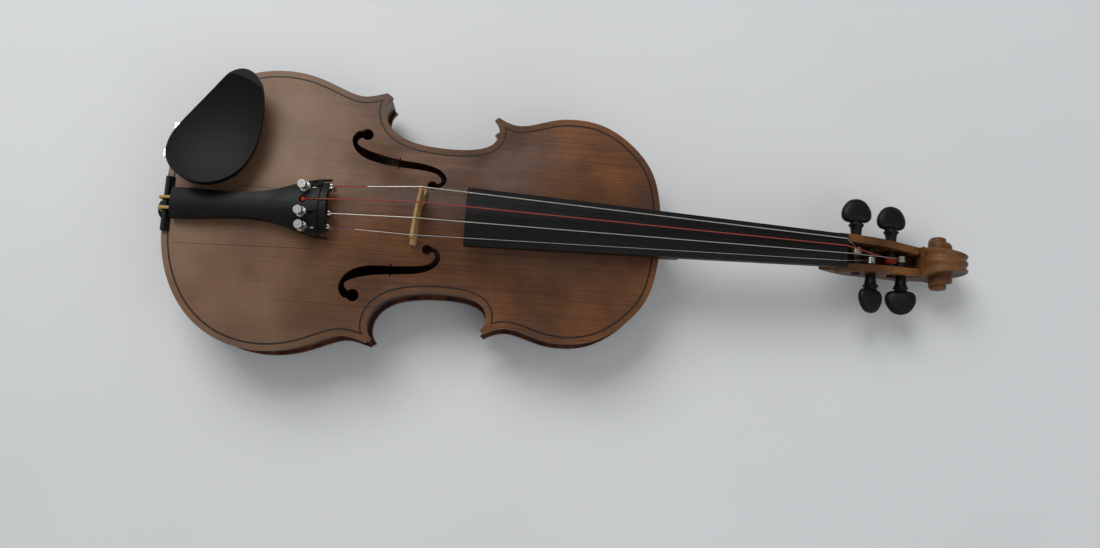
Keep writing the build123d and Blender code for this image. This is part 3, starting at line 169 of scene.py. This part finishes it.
def spruce_varnished():
    """Quarter-sawn spruce under old oil varnish: fine straight grain along the body, a brown
    ground with darker areas, a painted greyish sheen of reflected light towards the tail, two cracks and a soft
    uneven gloss."""
    made, tree, shader, place = start("spruce_oil_varnished")
    grain = stretched(tree, place, 5, 1000, 5, 1.0, 2.0)      # annual rings about 1 mm apart
    fibres = stretched(tree, place, 40, 4000, 40, 1.0)
    clouds = add(tree, "TexNoise", Vector=place, Scale=14.0, Detail=5.0, Roughness=0.6).outputs["Fac"]
    ground = ramp(tree, clouds, (0.30, "#3C220E"), (0.5, "#5E3818"), (0.70, "#7E4E22"))
    rings = ramp(tree, grain, (0.36, "#8A5C38"), (0.56, "#FFFFFF"))
    colour = mixed(tree, 0.40, ground, rings, "MULTIPLY")
    streaks = ramp(tree, fibres, (0.35, "#B08A6A"), (0.6, "#FFFFFF"))
    colour = mixed(tree, 0.45, colour, streaks, "MULTIPLY")
    along = add(tree, "SeparateXYZ", Vector=place).outputs["X"]
    # painted sheen: greyish patches towards the tail stand in for light reflected off the varnish
    tail = add(tree, "MapRange", Value=along, From_Min=BRIDGE_LINE + SHEEN_AHEAD,
               From_Max=TAIL_EDGE + SHEEN_FULL, To_Min=0.0, To_Max=0.55)
    sheen_patches = add(tree, "TexNoise", Vector=place, Scale=9.0, Detail=3.0).outputs["Fac"]
    sheen_patches = add(tree, "MapRange", Value=sheen_patches, From_Min=0.35, From_Max=0.65).outputs["Result"]
    painted_sheen = add(tree, "Math", {"operation": "MULTIPLY"}, i0=tail.outputs["Result"], i1=sheen_patches).outputs[0]
    # the painted sheen's colour, mixed in where reflected light is painted
    colour = mixed(tree, painted_sheen, colour, "#8E725A")
    for begin, end in CRACKS:
        colour = mixed(tree, crack(tree, place, begin, end), colour, "#120A05")
    tree.links.new(colour, shader.inputs["Base Color"])
    gloss = add(tree, "MapRange", Value=clouds, From_Min=0.3, From_Max=0.7, To_Min=0.55, To_Max=0.38)
    tree.links.new(gloss.outputs["Result"], shader.inputs["Roughness"])
    shader.inputs["Specular IOR Level"].default_value = 0.3
    shader.inputs["Coat Weight"].default_value = 0.05
    shader.inputs["Coat Roughness"].default_value = 0.25
    bump(tree, shader, grain, 0.00006, 0.5)
    return made


def maple_varnished():
    """Flamed maple under brown varnish: dark and light bands across the grain."""
    made, tree, shader, place = start("maple_flamed_varnished")
    flame = stretched(tree, place, 150, 12, 150, 1.0, 1.5)     # flame stripes about 7 mm apart
    clouds = add(tree, "TexNoise", Vector=place, Scale=10.0, Detail=4.0).outputs["Fac"]
    bands = ramp(tree, flame, (0.36, "#34180A"), (0.5, "#542A12"), (0.64, "#6E3E1C"))
    shade = ramp(tree, clouds, (0.35, "#B48A66"), (0.65, "#FFFFFF"))
    colour = mixed(tree, 0.7, bands, shade, "MULTIPLY")
    pores = stretched(tree, place, 60, 3000, 3000, 1.0)
    flecks = ramp(tree, pores, (0.4, "#8C6A4C"), (0.55, "#FFFFFF"))
    colour = mixed(tree, 0.25, colour, flecks, "MULTIPLY")
    tree.links.new(colour, shader.inputs["Base Color"])
    shader.inputs["Roughness"].default_value = 0.30
    shader.inputs["Specular IOR Level"].default_value = 0.35
    shader.inputs["Coat Weight"].default_value = 0.12
    shader.inputs["Coat Roughness"].default_value = 0.15
    bump(tree, shader, pores, 0.00004, 0.4)
    return made


WOOD_FIBRES = (40, 1500, 1500)          # cells per metre along and across the body


def plain_wood(name, light, dark, roughness):
    """Bare or oiled wood with straight fibres along the body."""
    made, tree, shader, place = start(name)
    lines = stretched(tree, place, *WOOD_FIBRES, 1.0)
    clouds = add(tree, "TexNoise", Vector=place, Scale=25.0, Detail=3.0).outputs["Fac"]
    colour = ramp(tree, clouds, (0.35, dark), (0.65, light))
    streaks = ramp(tree, lines, (0.35, "#9A8468"), (0.6, "#FFFFFF"))
    colour = mixed(tree, 0.5, colour, streaks, "MULTIPLY")
    tree.links.new(colour, shader.inputs["Base Color"])
    shader.inputs["Roughness"].default_value = roughness
    shader.inputs["Specular IOR Level"].default_value = 0.25
    bump(tree, shader, lines, 0.00005, 0.5)
    return made


def ebony():
    """Oiled ebony, scraped and burnished: near black with faint brown streaks, a satin sheen."""
    made, tree, shader, place = start("ebony_burnished")
    lines = stretched(tree, place, 30, 1200, 1200, 1.0)
    colour = ramp(tree, lines, (0.35, "#050505"), (0.6, "#0C0A09"), (0.75, "#17120F"))
    tree.links.new(colour, shader.inputs["Base Color"])
    smears = add(tree, "TexNoise", Vector=place, Scale=60.0, Detail=4.0).outputs["Fac"]
    gloss = add(tree, "MapRange", Value=smears, From_Min=0.3, From_Max=0.7, To_Min=0.38, To_Max=0.52)
    tree.links.new(gloss.outputs["Result"], shader.inputs["Roughness"])
    shader.inputs["Specular IOR Level"].default_value = 0.2
    bump(tree, shader, lines, 0.00003, 0.4)
    return made


def metal(name, light, dark, roughness):
    """Plated or drawn metal with faint handling marks."""
    made, tree, shader, place = start(name)
    marks = add(tree, "TexNoise", Vector=place, Scale=900.0, Detail=4.0).outputs["Fac"]
    tree.links.new(ramp(tree, marks, (0.3, dark), (0.6, light)), shader.inputs["Base Color"])
    shader.inputs["Metallic"].default_value = 1.0
    gloss = add(tree, "MapRange", Value=marks, From_Min=0.3, From_Max=0.7, To_Min=roughness * 1.4,
                To_Max=roughness * 0.8)
    tree.links.new(gloss.outputs["Result"], shader.inputs["Roughness"])
    return made


WAVE_UNIT = 0.314               # a wave texture of scale 1 has bands this far apart
RIBBON_WIDTH = 0.0005           # the real ribbon is 0.2 mm, too fine to show


def wound_string(name, core, silk, silk_groove_shade, silk_before, silk_after):
    """Flat-wound string: bright ribbon turns, with coloured silk wrapped round its ends, and
    painted shade darkening the grooves between turns. The silk lies before and after two
    places along the violin, in metres."""
    made, tree, shader, place = start(name)
    along = add(tree, "SeparateXYZ", Vector=place).outputs["X"]
    wave = add(tree, "TexWave", {"bands_direction": "X"}, Vector=place, Scale=WAVE_UNIT / RIBBON_WIDTH)
    turns = wave.outputs["Fac"]
    low = add(tree, "Math", {"operation": "LESS_THAN"}, i0=along, i1=silk_before).outputs[0]
    high = add(tree, "Math", {"operation": "GREATER_THAN"}, i0=along, i1=silk_after).outputs[0]
    ends = add(tree, "Math", {"operation": "MAXIMUM"}, i0=low, i1=high).outputs[0]
    # painted shade: the wave's low bands darken the ribbon (#6E6A62) and the silk in the grooves between turns
    ribbon = ramp(tree, turns, (0.0, "#6E6A62"), (0.5, core))
    threads = ramp(tree, turns, (0.2, silk_groove_shade), (0.7, silk))
    tree.links.new(mixed(tree, ends, ribbon, threads), shader.inputs["Base Color"])
    bare = add(tree, "Math", {"operation": "SUBTRACT"}, i0=1.0, i1=ends).outputs[0]
    tree.links.new(bare, shader.inputs["Metallic"])
    gloss = add(tree, "MapRange", Value=ends, To_Min=0.28, To_Max=0.85)
    tree.links.new(gloss.outputs["Result"], shader.inputs["Roughness"])
    bump(tree, shader, turns, 0.00003, 0.6)
    return made


def soft(name, light, dark, roughness, grit):
    """Matt material with fine grit: cork, silk, gut or moulded plastic; grit is its cell size."""
    made, tree, shader, place = start(name)
    cells = add(tree, "TexNoise", Vector=place, Scale=1 / grit, Detail=5.0, Roughness=0.6).outputs["Fac"]
    tree.links.new(ramp(tree, cells, (0.35, dark), (0.62, light)), shader.inputs["Base Color"])
    shader.inputs["Roughness"].default_value = roughness
    shader.inputs["Specular IOR Level"].default_value = 0.15
    bump(tree, shader, cells, grit * 0.03, 0.6)
    return made


# red silk, and the painted shade for the grooves between its turns
SILK_RED, SILK_RED_GROOVE_SHADE = "#A33A2C", "#5A2018"
FAR = 9.0                       # past either end of the violin: no silk there
EBONY = ebony()
NICKEL = metal("brass_nickel_plated", "#D2D0CB", "#A8A59E", 0.16)
FINISH = {
    "spruce_varnished": spruce_varnished(), "maple_varnished": maple_varnished(), "ebony": EBONY,
    "fret_ebony": EBONY, "nickel": NICKEL,
    "maple_neck": plain_wood("maple_oiled", "#80542A", "#4C2E14", 0.42),
    "maple_plain": plain_wood("maple_bare", "#BC9A68", "#9C7A4C", 0.55),
    "spruce_plain": plain_wood("spruce_bare", "#DCC192", "#C4A472", 0.7),
    "purfling": plain_wood("pearwood_dyed", "#2E1D12", "#1C110B", 0.4),
    "string_silver": wound_string("silver_wound", "#CFCABC", SILK_RED, SILK_RED_GROOVE_SHADE, -FAR, FAR),
    "string_steel": metal("steel_drawn", "#DADAD8", "#B0AFAA", 0.2),
    "string_red": soft("silk_red_faded", "#A8503E", "#6E2A20", 0.7, 0.0004),
    "silk_red": soft("silk_red", "#A33A2C", "#5E1C14", 0.8, 0.0004),
    "knot_red": soft("silk_red_knot", "#B04030", "#6E2018", 0.75, 0.0005),
    "gut": soft("gut_twisted", "#C9A66A", "#8E6C38", 0.45, 0.0008),
    "chinrest_black": soft("plastic_moulded_black", "#0B0B0C", "#070708", 0.50, 0.0012),
    "cork": soft("cork_sheet", "#B48E60", "#7C5A36", 0.85, 0.0007),
}


# string, its wire, its silk colour and the painted shade in the grooves between its turns, and the x that the silk
# at the tailpiece reaches
SILK_ENDS = (("g", "#CFCABC", SILK_RED, SILK_RED_GROOVE_SHADE, -0.147),
             ("e", "#DADAD8", "#5A3A78", "#32204A", -0.153))


def dress():
    """Every node of the frame takes the finish of its slot, and two strings their silk ends."""
    for part in frame["record"]["subparts"]:
        shown = NODES[part["node"]]
        shown.data.materials.clear()
        shown.data.materials.append(FINISH[part["material_slot"]])
    for name, wire, silk, silk_groove_shade, silk_end in SILK_ENDS:
        finish = wound_string(f"string_{name}_silk_end", wire, silk, silk_groove_shade, silk_end, FAR)
        NODES[f"string_{name}"].data.materials[0] = finish


dress()

# ---- meshes ----

def surface(name, grid, finish, body="violin"):
    """Mesh of a grid of points, rows by columns, as quads; the columns close on each other."""
    rows, columns = grid.shape[:2]
    row, column = np.meshgrid(np.arange(rows - 1), np.arange(columns), indexing="ij")
    after = (column + 1) % columns
    quads = np.stack([row * columns + column, row * columns + after,
                      (row + 1) * columns + after, (row + 1) * columns + column], axis=-1)
    mesh = bpy.data.meshes.new(name)
    mesh.from_pydata(grid.reshape(-1, 3).tolist(), [], quads.reshape(-1, 4).tolist())
    mesh.materials.append(finish)
    made = bpy.data.objects.new(name, mesh)
    bpy.context.collection.objects.link(made)
    tidy(made)
    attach(made, body)
    return made


def tidy(piece):
    """Welds doubled points, turns faces outwards and shades them smooth."""
    work = bmesh.new()
    work.from_mesh(piece.data)
    bmesh.ops.remove_doubles(work, verts=work.verts, dist=WELD)
    bmesh.ops.dissolve_degenerate(work, dist=1e-7, edges=work.edges)
    bmesh.ops.recalc_face_normals(work, faces=work.faces)
    work.to_mesh(piece.data)
    work.free()
    piece.data.shade_smooth()


def crease(piece, degrees):
    """Keeps edges sharper than an angle sharp in the shading."""
    piece.data.set_sharp_from_angle(angle=np.radians(degrees))


def curve_through(points, count):
    """Natural cubic spline through points, by chord length, at evenly spaced places."""
    points = np.asarray(points, float)
    steps = np.linalg.norm(np.diff(points, axis=0), axis=1)
    at = np.concatenate([[0], np.cumsum(steps)])
    size = len(points)
    system = np.eye(size)
    right = np.zeros((size, points.shape[1]))
    inner = np.arange(1, size - 1)
    system[inner, inner - 1] = steps[:-1]
    system[inner, inner] = 2 * (steps[:-1] + steps[1:])
    system[inner, inner + 1] = steps[1:]
    slopes = np.diff(points, axis=0) / steps[:, None]
    right[1:-1] = 6 * np.diff(slopes, axis=0)
    bend = np.linalg.solve(system, right)
    where = np.linspace(0, at[-1], count)
    k = np.clip(np.searchsorted(at, where, side="right") - 1, 0, size - 2)
    h = steps[k][:, None]
    a = ((at[k + 1] - where)[:, None]) / h
    b = ((where - at[k])[:, None]) / h
    bulge = ((a ** 3 - a) * bend[k] + (b ** 3 - b) * bend[k + 1]) * h ** 2 / 6
    return a * points[k] + b * points[k + 1] + bulge


def turned(profile, sides):
    """Surface of revolution: each (along, radius) of the profile becomes a ring of points,
    returned as (x, y, z) with the axis along z."""
    turn = np.linspace(0, TAU, sides, endpoint=False)
    along, radius = np.asarray(profile, float).T
    return np.stack([radius[:, None] * np.cos(turn), radius[:, None] * np.sin(turn),
                     np.repeat(along[:, None], sides, axis=1)], axis=-1)


def to_axis(grid, origin, axis, side_axis):
    """Grid given in millimetres along an axis, placed in the shared frame."""
    axis = np.asarray(axis, float) / np.linalg.norm(axis)
    x_axis = np.asarray(side_axis, float) - axis * np.dot(side_axis, axis)
    x_axis /= np.linalg.norm(x_axis)
    y_axis = np.cross(axis, x_axis)
    turned_grid = grid[..., :1] * x_axis + grid[..., 1:2] * y_axis + grid[..., 2:3] * axis
    return np.asarray(origin) + MM * turned_grid


def slab(name, rim, low, high):
    """Upright prism over a closed run of points, as a cutting tool."""
    work = bmesh.new()
    base = [work.verts.new((x, y, low)) for x, y in rim]
    face = work.faces.new(base)
    lifted = bmesh.ops.extrude_face_region(work, geom=[face])["geom"]
    corners = [v for v in lifted if isinstance(v, bmesh.types.BMVert)]
    bmesh.ops.translate(work, vec=(0, 0, high - low), verts=corners)
    bmesh.ops.recalc_face_normals(work, faces=work.faces)
    mesh = bpy.data.meshes.new(name)
    work.to_mesh(mesh)
    work.free()
    made = bpy.data.objects.new(name, mesh)
    bpy.context.collection.objects.link(made)
    return made


def cut(piece, tool):
    """Cuts a tool out of a piece for good, and removes the tool."""
    change = piece.modifiers.new("cut", "BOOLEAN")
    change.object = tool
    change.operation = "DIFFERENCE"
    change.solver = "EXACT"
    shaped = piece.evaluated_get(bpy.context.evaluated_depsgraph_get())
    final = bpy.data.meshes.new_from_object(shaped)
    piece.modifiers.clear()
    piece.data = final
    bpy.data.objects.remove(tool)


# ---- pegs, windings and tuner screws ----

# turned profiles are (along the axis, radius) in mm; a peg's is measured from its collar
PEG_TIP = [(-0.4, 0.0), (-0.4, 2.6), (0.0, 3.1)]        # from the peg's flush end
PEG_SHAFT = [(-12.0, 3.7), (-6.0, 3.95), (-2.8, 4.3), (-1.4, 4.9), (-0.9, 5.5), (-0.3, 5.75), (0.3, 5.5),
             (0.6, 4.6), (1.2, 4.5), (1.7, 5.0), (2.2, 4.8), (2.6, 3.6), (4.0, 2.0), (4.0, 0.0)]
PEG_SIDES = 40
PEG_HEAD = [(0.0, 1.7), (4.5, 1.75), (8.0, 2.3), (10.4, 4.1), (11.4, 7.4), (10.9, 11.2), (8.7, 15.4),
            (4.9, 18.9), (0.0, 20.05)]
PEG_HEAD_MIDDLE = np.array([0.0, 9.5])
PEG_HEAD_THICKNESS = 8.4
PEG_HEAD_FULLNESS = 0.62        # under 1 makes the head's rim rounder than an ellipse
PEG_REACH = 20.1                # from the collar to the head's top
PEG_ENDS = {"g": 37.6, "d": 35.0, "a": 33.8, "e": 37.0}      # from the collar to the flush end
PEG_TURNS = {"g": 0.0, "d": 6.0, "a": -12.0, "e": 28.0}


def peg_head(turn):
    """Domed heart: the outline shrinks towards its middle as the cosine of a latitude while
    the face rises as its sine."""
    half = curve_through(PEG_HEAD, 40)
    rim = np.concatenate([half, half[-2:0:-1] * (-1, 1)]) - PEG_HEAD_MIDDLE
    latitude = np.linspace(-np.pi / 2, np.pi / 2, 25)[:, None]
    shrink = np.clip(np.cos(latitude), 0, 1) ** PEG_HEAD_FULLNESS
    lift = np.sign(np.sin(latitude)) * np.abs(np.sin(latitude)) ** 0.9 * PEG_HEAD_THICKNESS / 2
    x, z = rim[:, 0] * shrink, rim[:, 1] * shrink + PEG_HEAD_MIDDLE[1]
    y = np.repeat(lift, rim.shape[0], axis=1)
    c, s = np.cos(np.radians(turn)), np.sin(np.radians(turn))
    return np.stack([x * c - y * s, x * s + y * c, z], axis=-1)


def tube(path, radius, sides=8):
    """Round tube along a path of points, with frames carried square to it."""
    along = np.gradient(path, axis=0)
    along /= np.linalg.norm(along, axis=1)[:, None]
    guide = np.array([0.0, 1.0, 0.0])
    across = np.cross(along, guide)
    across /= np.linalg.norm(across, axis=1)[:, None]
    over = np.cross(across, along)
    turn = np.linspace(0, TAU, sides, endpoint=False)
    around = np.cos(turn)[:, None] * across[:, None] + np.sin(turn)[:, None] * over[:, None]
    rings = path[:, None] + radius * around
    return np.concatenate([np.repeat(path[:1, None], sides, 1), rings, np.repeat(path[-1:, None], sides, 1)])


STRING_THICK = {"g": 0.80, "d": 0.80, "a": 0.66, "e": 0.32}
COIL_SAMPLES = 28               # points along each turn of string
WINDING_FINISH = {"g": "string_silver", "d": "silk_red", "a": "string_silver", "e": "string_steel"}


def pegs():
    """Each peg's turned shaft and domed head, and the string wound on it as a helix."""
    for name, turn in PEG_TURNS.items():
        joint = next(j for j in frame["joints"] if j["name"] == f"peg_{name}_turn")
        x, _, z = joint["pos_m"]
        side = np.sign(joint["axis"][1])
        low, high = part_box(f"peg_{name}")
        reach = high.y if side > 0 else -low.y
        origin = (x, side * (reach - PEG_REACH * MM), z)
        body = f"peg_{name}_body"
        outwards = (0, side, 0)
        profile = [(along - PEG_ENDS[name], radius) for along, radius in PEG_TIP] + PEG_SHAFT
        shank = to_axis(turned(profile, PEG_SIDES), origin, outwards, (1, 0, 0))
        shaft = surface(f"peg_{name}_shaft", shank, EBONY, body)
        crease(shaft, 40)
        heart = to_axis(peg_head(turn * side), origin, outwards, (1, 0, 0))
        head = surface(f"peg_{name}_head", heart, EBONY, body)
        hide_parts(f"peg_{name}")
        wind_low, wind_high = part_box(f"winding_{name}")
        thick = STRING_THICK[name] * MM
        middle = (wind_low + wind_high) / 2
        length = wind_high.y - wind_low.y - thick
        outside = (wind_high.z - wind_low.z) / 2 - thick / 2
        turns = length / thick
        angle = np.linspace(0, TAU * turns, int(turns * COIL_SAMPLES))
        across = middle.y - length / 2 + length * angle / angle[-1]
        path = np.stack([middle.x + outside * np.cos(angle), across,
                         middle.z + outside * np.sin(angle)], axis=1)
        wire = FINISH[WINDING_FINISH[name]]
        coil = surface(f"winding_{name}_coil", tube(path, thick / 2), wire, body)
        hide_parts(f"winding_{name}")


SCREW_HEAD = [(0.0, 1.5), (0.0, 2.9), (0.35, 3.25), (0.6, 3.3), (3.0, 3.3), (3.25, 3.2), (3.6, 2.9),
              (3.6, 1.2), (3.35, 0.9), (3.35, 0.0)]
SCREW_HEAD_HEIGHT = 3.6
SCREW_FLUTES = 26
FLUTE_DEPTH = 0.03              # share of the radius
KNURL_OUTSIDE = 3.22            # only what is wider than this is knurled
SCREW_SIDES = 130
SCREW_TOP = 3.0                 # the highest part of the CAD screw, which gives its axis


def tuner_screws():
    """Knurled thumb screws: the rim of the head waves in and out with each flute."""
    for name in "gae":
        joint = next(j for j in frame["joints"] if j["name"] == f"tuner_{name}_screw")
        axis = -np.array(joint["axis"])
        axis /= np.linalg.norm(axis)
        points = np.array([v.co for v in NODES[f"tuner_screw_{name}"].data.vertices])
        height = points @ axis
        foot, top = height.min(), height.max()
        base = (top - foot) / MM - SCREW_HEAD_HEIGHT
        shaft = [(0.0, 0.0), (0.0, 1.1), (0.4, 1.5), (base, 1.5)]
        grid = turned(shaft + [(base + along, radius) for along, radius in SCREW_HEAD], SCREW_SIDES)
        turn = np.linspace(0, TAU, SCREW_SIDES, endpoint=False)
        flutes = 1 - FLUTE_DEPTH * (1 - np.cos(SCREW_FLUTES * turn))
        wave = np.where(np.hypot(grid[..., 0], grid[..., 1]) > KNURL_OUTSIDE, flutes, 1.0)
        grid[..., :2] *= wave[..., None]
        shown = points[height > top - SCREW_TOP * MM]
        centre = (shown.max(0) + shown.min(0)) / 2
        origin = centre - axis * (centre @ axis - foot)
        grid = to_axis(grid, origin, axis, (0, 1, 0))
        made = surface(f"tuner_screw_{name}_knurled", grid, NICKEL, f"tuner_screw_{name}_body")
        crease(made, 30)
        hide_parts(f"tuner_screw_{name}")


# ---- neck and scroll ----

SPIRAL_RADIUS = 22.5            # from the eye to the front of the volute
SPIRAL_DECAY = 0.118            # shrink for each radian
SPIRAL_START, SPIRAL_END = -2.45, 10.4
REACH_X = 22.66                 # furthest the spiral stands in front of the eye
EYE_HEIGHT = 27.09
EYE_X = float(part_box("neck")[1].x) - REACH_X * MM
VOLUTE_ROWS, VOLUTE_COLUMNS = 300, 33
# half width at each angle, in radians from the front of the eye
VOLUTE_WIDTHS = [(-2.45, 10.3), (-1.57, 9.0), (-0.6, 7.0), (0.2, 6.6), (1.57, 8.4), (3.14, 11.2),
                 (4.7, 13.0), (6.3, 14.6), (8.0, 16.4), (9.4, 18.4), (10.4, 20.1)]
EYE_PROFILE = [(-20.2, 0.0), (-20.2, 4.4), (-19.7, 5.4), (-18.8, 5.9),
               (18.8, 5.9), (19.7, 5.4), (20.2, 4.4), (20.2, 0.0)]
FLUTE_EDGE = 0.9                # share of the half width that the two flutes take
BEVEL = 0.9                     # along both edges of the ribbon
FLUTE_FADE = ([SPIRAL_START, -1.2, 3.4, 4.6], [0.0, 1.3, 1.3, 0.0])    # flutes' depth by angle
WALL_HOLLOW = 0.5               # the side walls are hollowed by this much
TURN_OVERLAP = 1.5              # each turn reaches this far into the next
HUB_RADIUS = 2.0
PEGBOX_CUT = 14.0               # the pegbox ends this far behind the eye
THROAT_TROUGH = (24.0, 15.2, 5.6, 16.5)     # trough under the curl: from, to, half width, floor


def volute():
    """Ribbon carried round a spiral that shrinks by an exponent of the angle while it widens:
    its outer face has two flutes and a ridge, and its inside reaches just into the next turn."""
    angle = np.linspace(SPIRAL_START, SPIRAL_END, VOLUTE_ROWS)
    smooth = curve_through(VOLUTE_WIDTHS, 400)
    half = np.interp(angle, smooth[:, 0], smooth[:, 1])
    outside = SPIRAL_RADIUS * np.exp(-SPIRAL_DECAY * angle)
    inside = np.maximum(SPIRAL_RADIUS * np.exp(-SPIRAL_DECAY * (angle + TAU)) - TURN_OVERLAP, HUB_RADIUS)
    share = np.linspace(-1, 1, VOLUTE_COLUMNS)
    from_middle = np.abs(share)
    flute = np.where(from_middle < FLUTE_EDGE, np.sin(np.pi * from_middle / FLUTE_EDGE) ** 2, 0.0)
    edge = np.clip((from_middle - FLUTE_EDGE) / (1 - FLUTE_EDGE), 0, 1)
    deep = np.interp(angle, *FLUTE_FADE)
    radius = outside[:, None] - deep[:, None] * flute - BEVEL * edge
    across = half[:, None] * share
    side = np.linspace(0, 1, 6)[1:]
    wall = (outside[:, None] - BEVEL) * (1 - side) + inside[:, None] * side
    hollow = half[:, None] - WALL_HOLLOW * np.sin(np.pi * side)
    radius = np.concatenate([radius, wall, wall[:, ::-1]], axis=1)
    across = np.concatenate([across, hollow, -hollow[:, ::-1]], axis=1)
    x = EYE_X + MM * radius * np.cos(angle)[:, None]
    z = np.maximum(MM * (EYE_HEIGHT + radius * np.sin(angle)[:, None]), 0.0)
    grid = np.stack([x, MM * across, z], axis=-1)
    ends = [np.repeat(grid[k].mean(axis=0)[None, None], grid.shape[1], axis=1) for k in (0, -1)]
    return np.concatenate([ends[0], grid, ends[1]])


def neck():
    """Neck and pegbox from the frame as far as the throat, with the volute and its eye."""
    wood = FINISH["maple_neck"]
    whole = bpy.data.objects.new("neck_and_pegbox", NODES["neck"].data.copy())
    bpy.context.collection.objects.link(whole)
    work = bmesh.new()
    work.from_mesh(whole.data)
    bmesh.ops.remove_doubles(work, verts=work.verts, dist=WELD)
    bmesh.ops.bisect_plane(work, geom=[*work.verts, *work.edges, *work.faces],
                           plane_co=(EYE_X - PEGBOX_CUT * MM, 0, 0), plane_no=(1, 0, 0), clear_outer=True)
    bmesh.ops.holes_fill(work, edges=[e for e in work.edges if e.is_boundary])
    bmesh.ops.triangulate(work, faces=work.faces)
    work.to_mesh(whole.data)
    work.free()
    begin, end, wide, low = np.array(THROAT_TROUGH) * MM
    rim = [(EYE_X - begin, -wide), (EYE_X - end, -wide), (EYE_X - end, wide), (EYE_X - begin, wide)]
    cut(whole, slab("trough_tool", rim, low, float(cad_high.z)))
    whole.data.shade_smooth()
    crease(whole, 30)
    scroll = surface("scroll_volute", volute(), wood)
    crease(scroll, 40)
    button = to_axis(turned(EYE_PROFILE, 48), (EYE_X, 0, EYE_HEIGHT * MM), (0, 1, 0), (1, 0, 0))
    eye = surface("scroll_eye", button, wood)
    crease(eye, 50)
    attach(whole, "violin")
    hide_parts("neck")


pegs()
tuner_screws()
neck()

# ---- stage ----

FLOOR_REACH = 3.0
FLOOR_GAP = 0.0002
CAMERA_PLACE = (-0.0475, -0.1543, 0.7364)
CAMERA_FORWARD = (0.0469, 0.1528, -0.9871)
CAMERA_RIGHT = (0.9963, 0.064, 0.057)
CAMERA_LENS = 31.76
CAMERA_SHIFT = 0.0183
ROOM_LIGHT = 0.42


def floor():
    """Pale matt table, a plain sheet under the violin."""
    mesh = bpy.data.meshes.new("table")
    corners = np.array([(-1, -1, 0), (1, -1, 0), (1, 1, 0), (-1, 1, 0)]) * FLOOR_REACH
    mesh.from_pydata(corners.tolist(), [], [(0, 1, 2, 3)])
    made = bpy.data.objects.new("table", mesh)
    bpy.context.collection.objects.link(made)
    made.location.z = float(cad_low.z) - FLOOR_GAP
    paint, tree, shader, place = start("paper_pale")
    grain = add(tree, "TexNoise", Vector=place, Scale=3.0, Detail=3.0).outputs["Fac"]
    tree.links.new(ramp(tree, grain, (0.3, "#D6D7D7"), (0.7, "#DDDEDE")), shader.inputs["Base Color"])
    shader.inputs["Roughness"].default_value = 0.8
    mesh.materials.append(paint)


def lamp(name, place, size, power):
    """Square soft box aimed at the violin."""
    light = bpy.data.lights.new(name, "AREA")
    light.shape = "SQUARE"
    light.size = size
    light.energy = power
    made = bpy.data.objects.new(name, light)
    bpy.context.collection.objects.link(made)
    made.location = place
    made.rotation_euler = (-Vector(place)).to_track_quat("-Z", "Y").to_euler()


def camera():
    """Camera nearly overhead, a little to the treble side."""
    lens = bpy.data.cameras.new("camera")
    lens.sensor_width = 36.0
    lens.lens = CAMERA_LENS
    lens.shift_y = CAMERA_SHIFT
    lens.clip_start = 0.01
    made = bpy.data.objects.new("camera", lens)
    bpy.context.collection.objects.link(made)
    forward = Vector(CAMERA_FORWARD).normalized()
    right = Vector(CAMERA_RIGHT)
    right = (right - forward * right.dot(forward)).normalized()
    up = right.cross(forward)
    turn = Matrix((right, up, -forward)).transposed().to_4x4()
    made.matrix_world = Matrix.Translation(CAMERA_PLACE) @ turn
    bpy.context.scene.camera = made


floor()
lamp("window", (-0.7, 1.1, 1.5), 1.2, 24.0)
lamp("room", (0.9, -0.9, 1.4), 1.6, 6.0)
world = bpy.data.worlds.new("room")
bpy.context.scene.world = world
world.use_nodes = True
background = world.node_tree.nodes["Background"]
background.inputs["Color"].default_value = linear("#E9EDF2")
background.inputs["Strength"].default_value = ROOM_LIGHT
bpy.context.scene.view_settings.view_transform = "Standard"
camera()
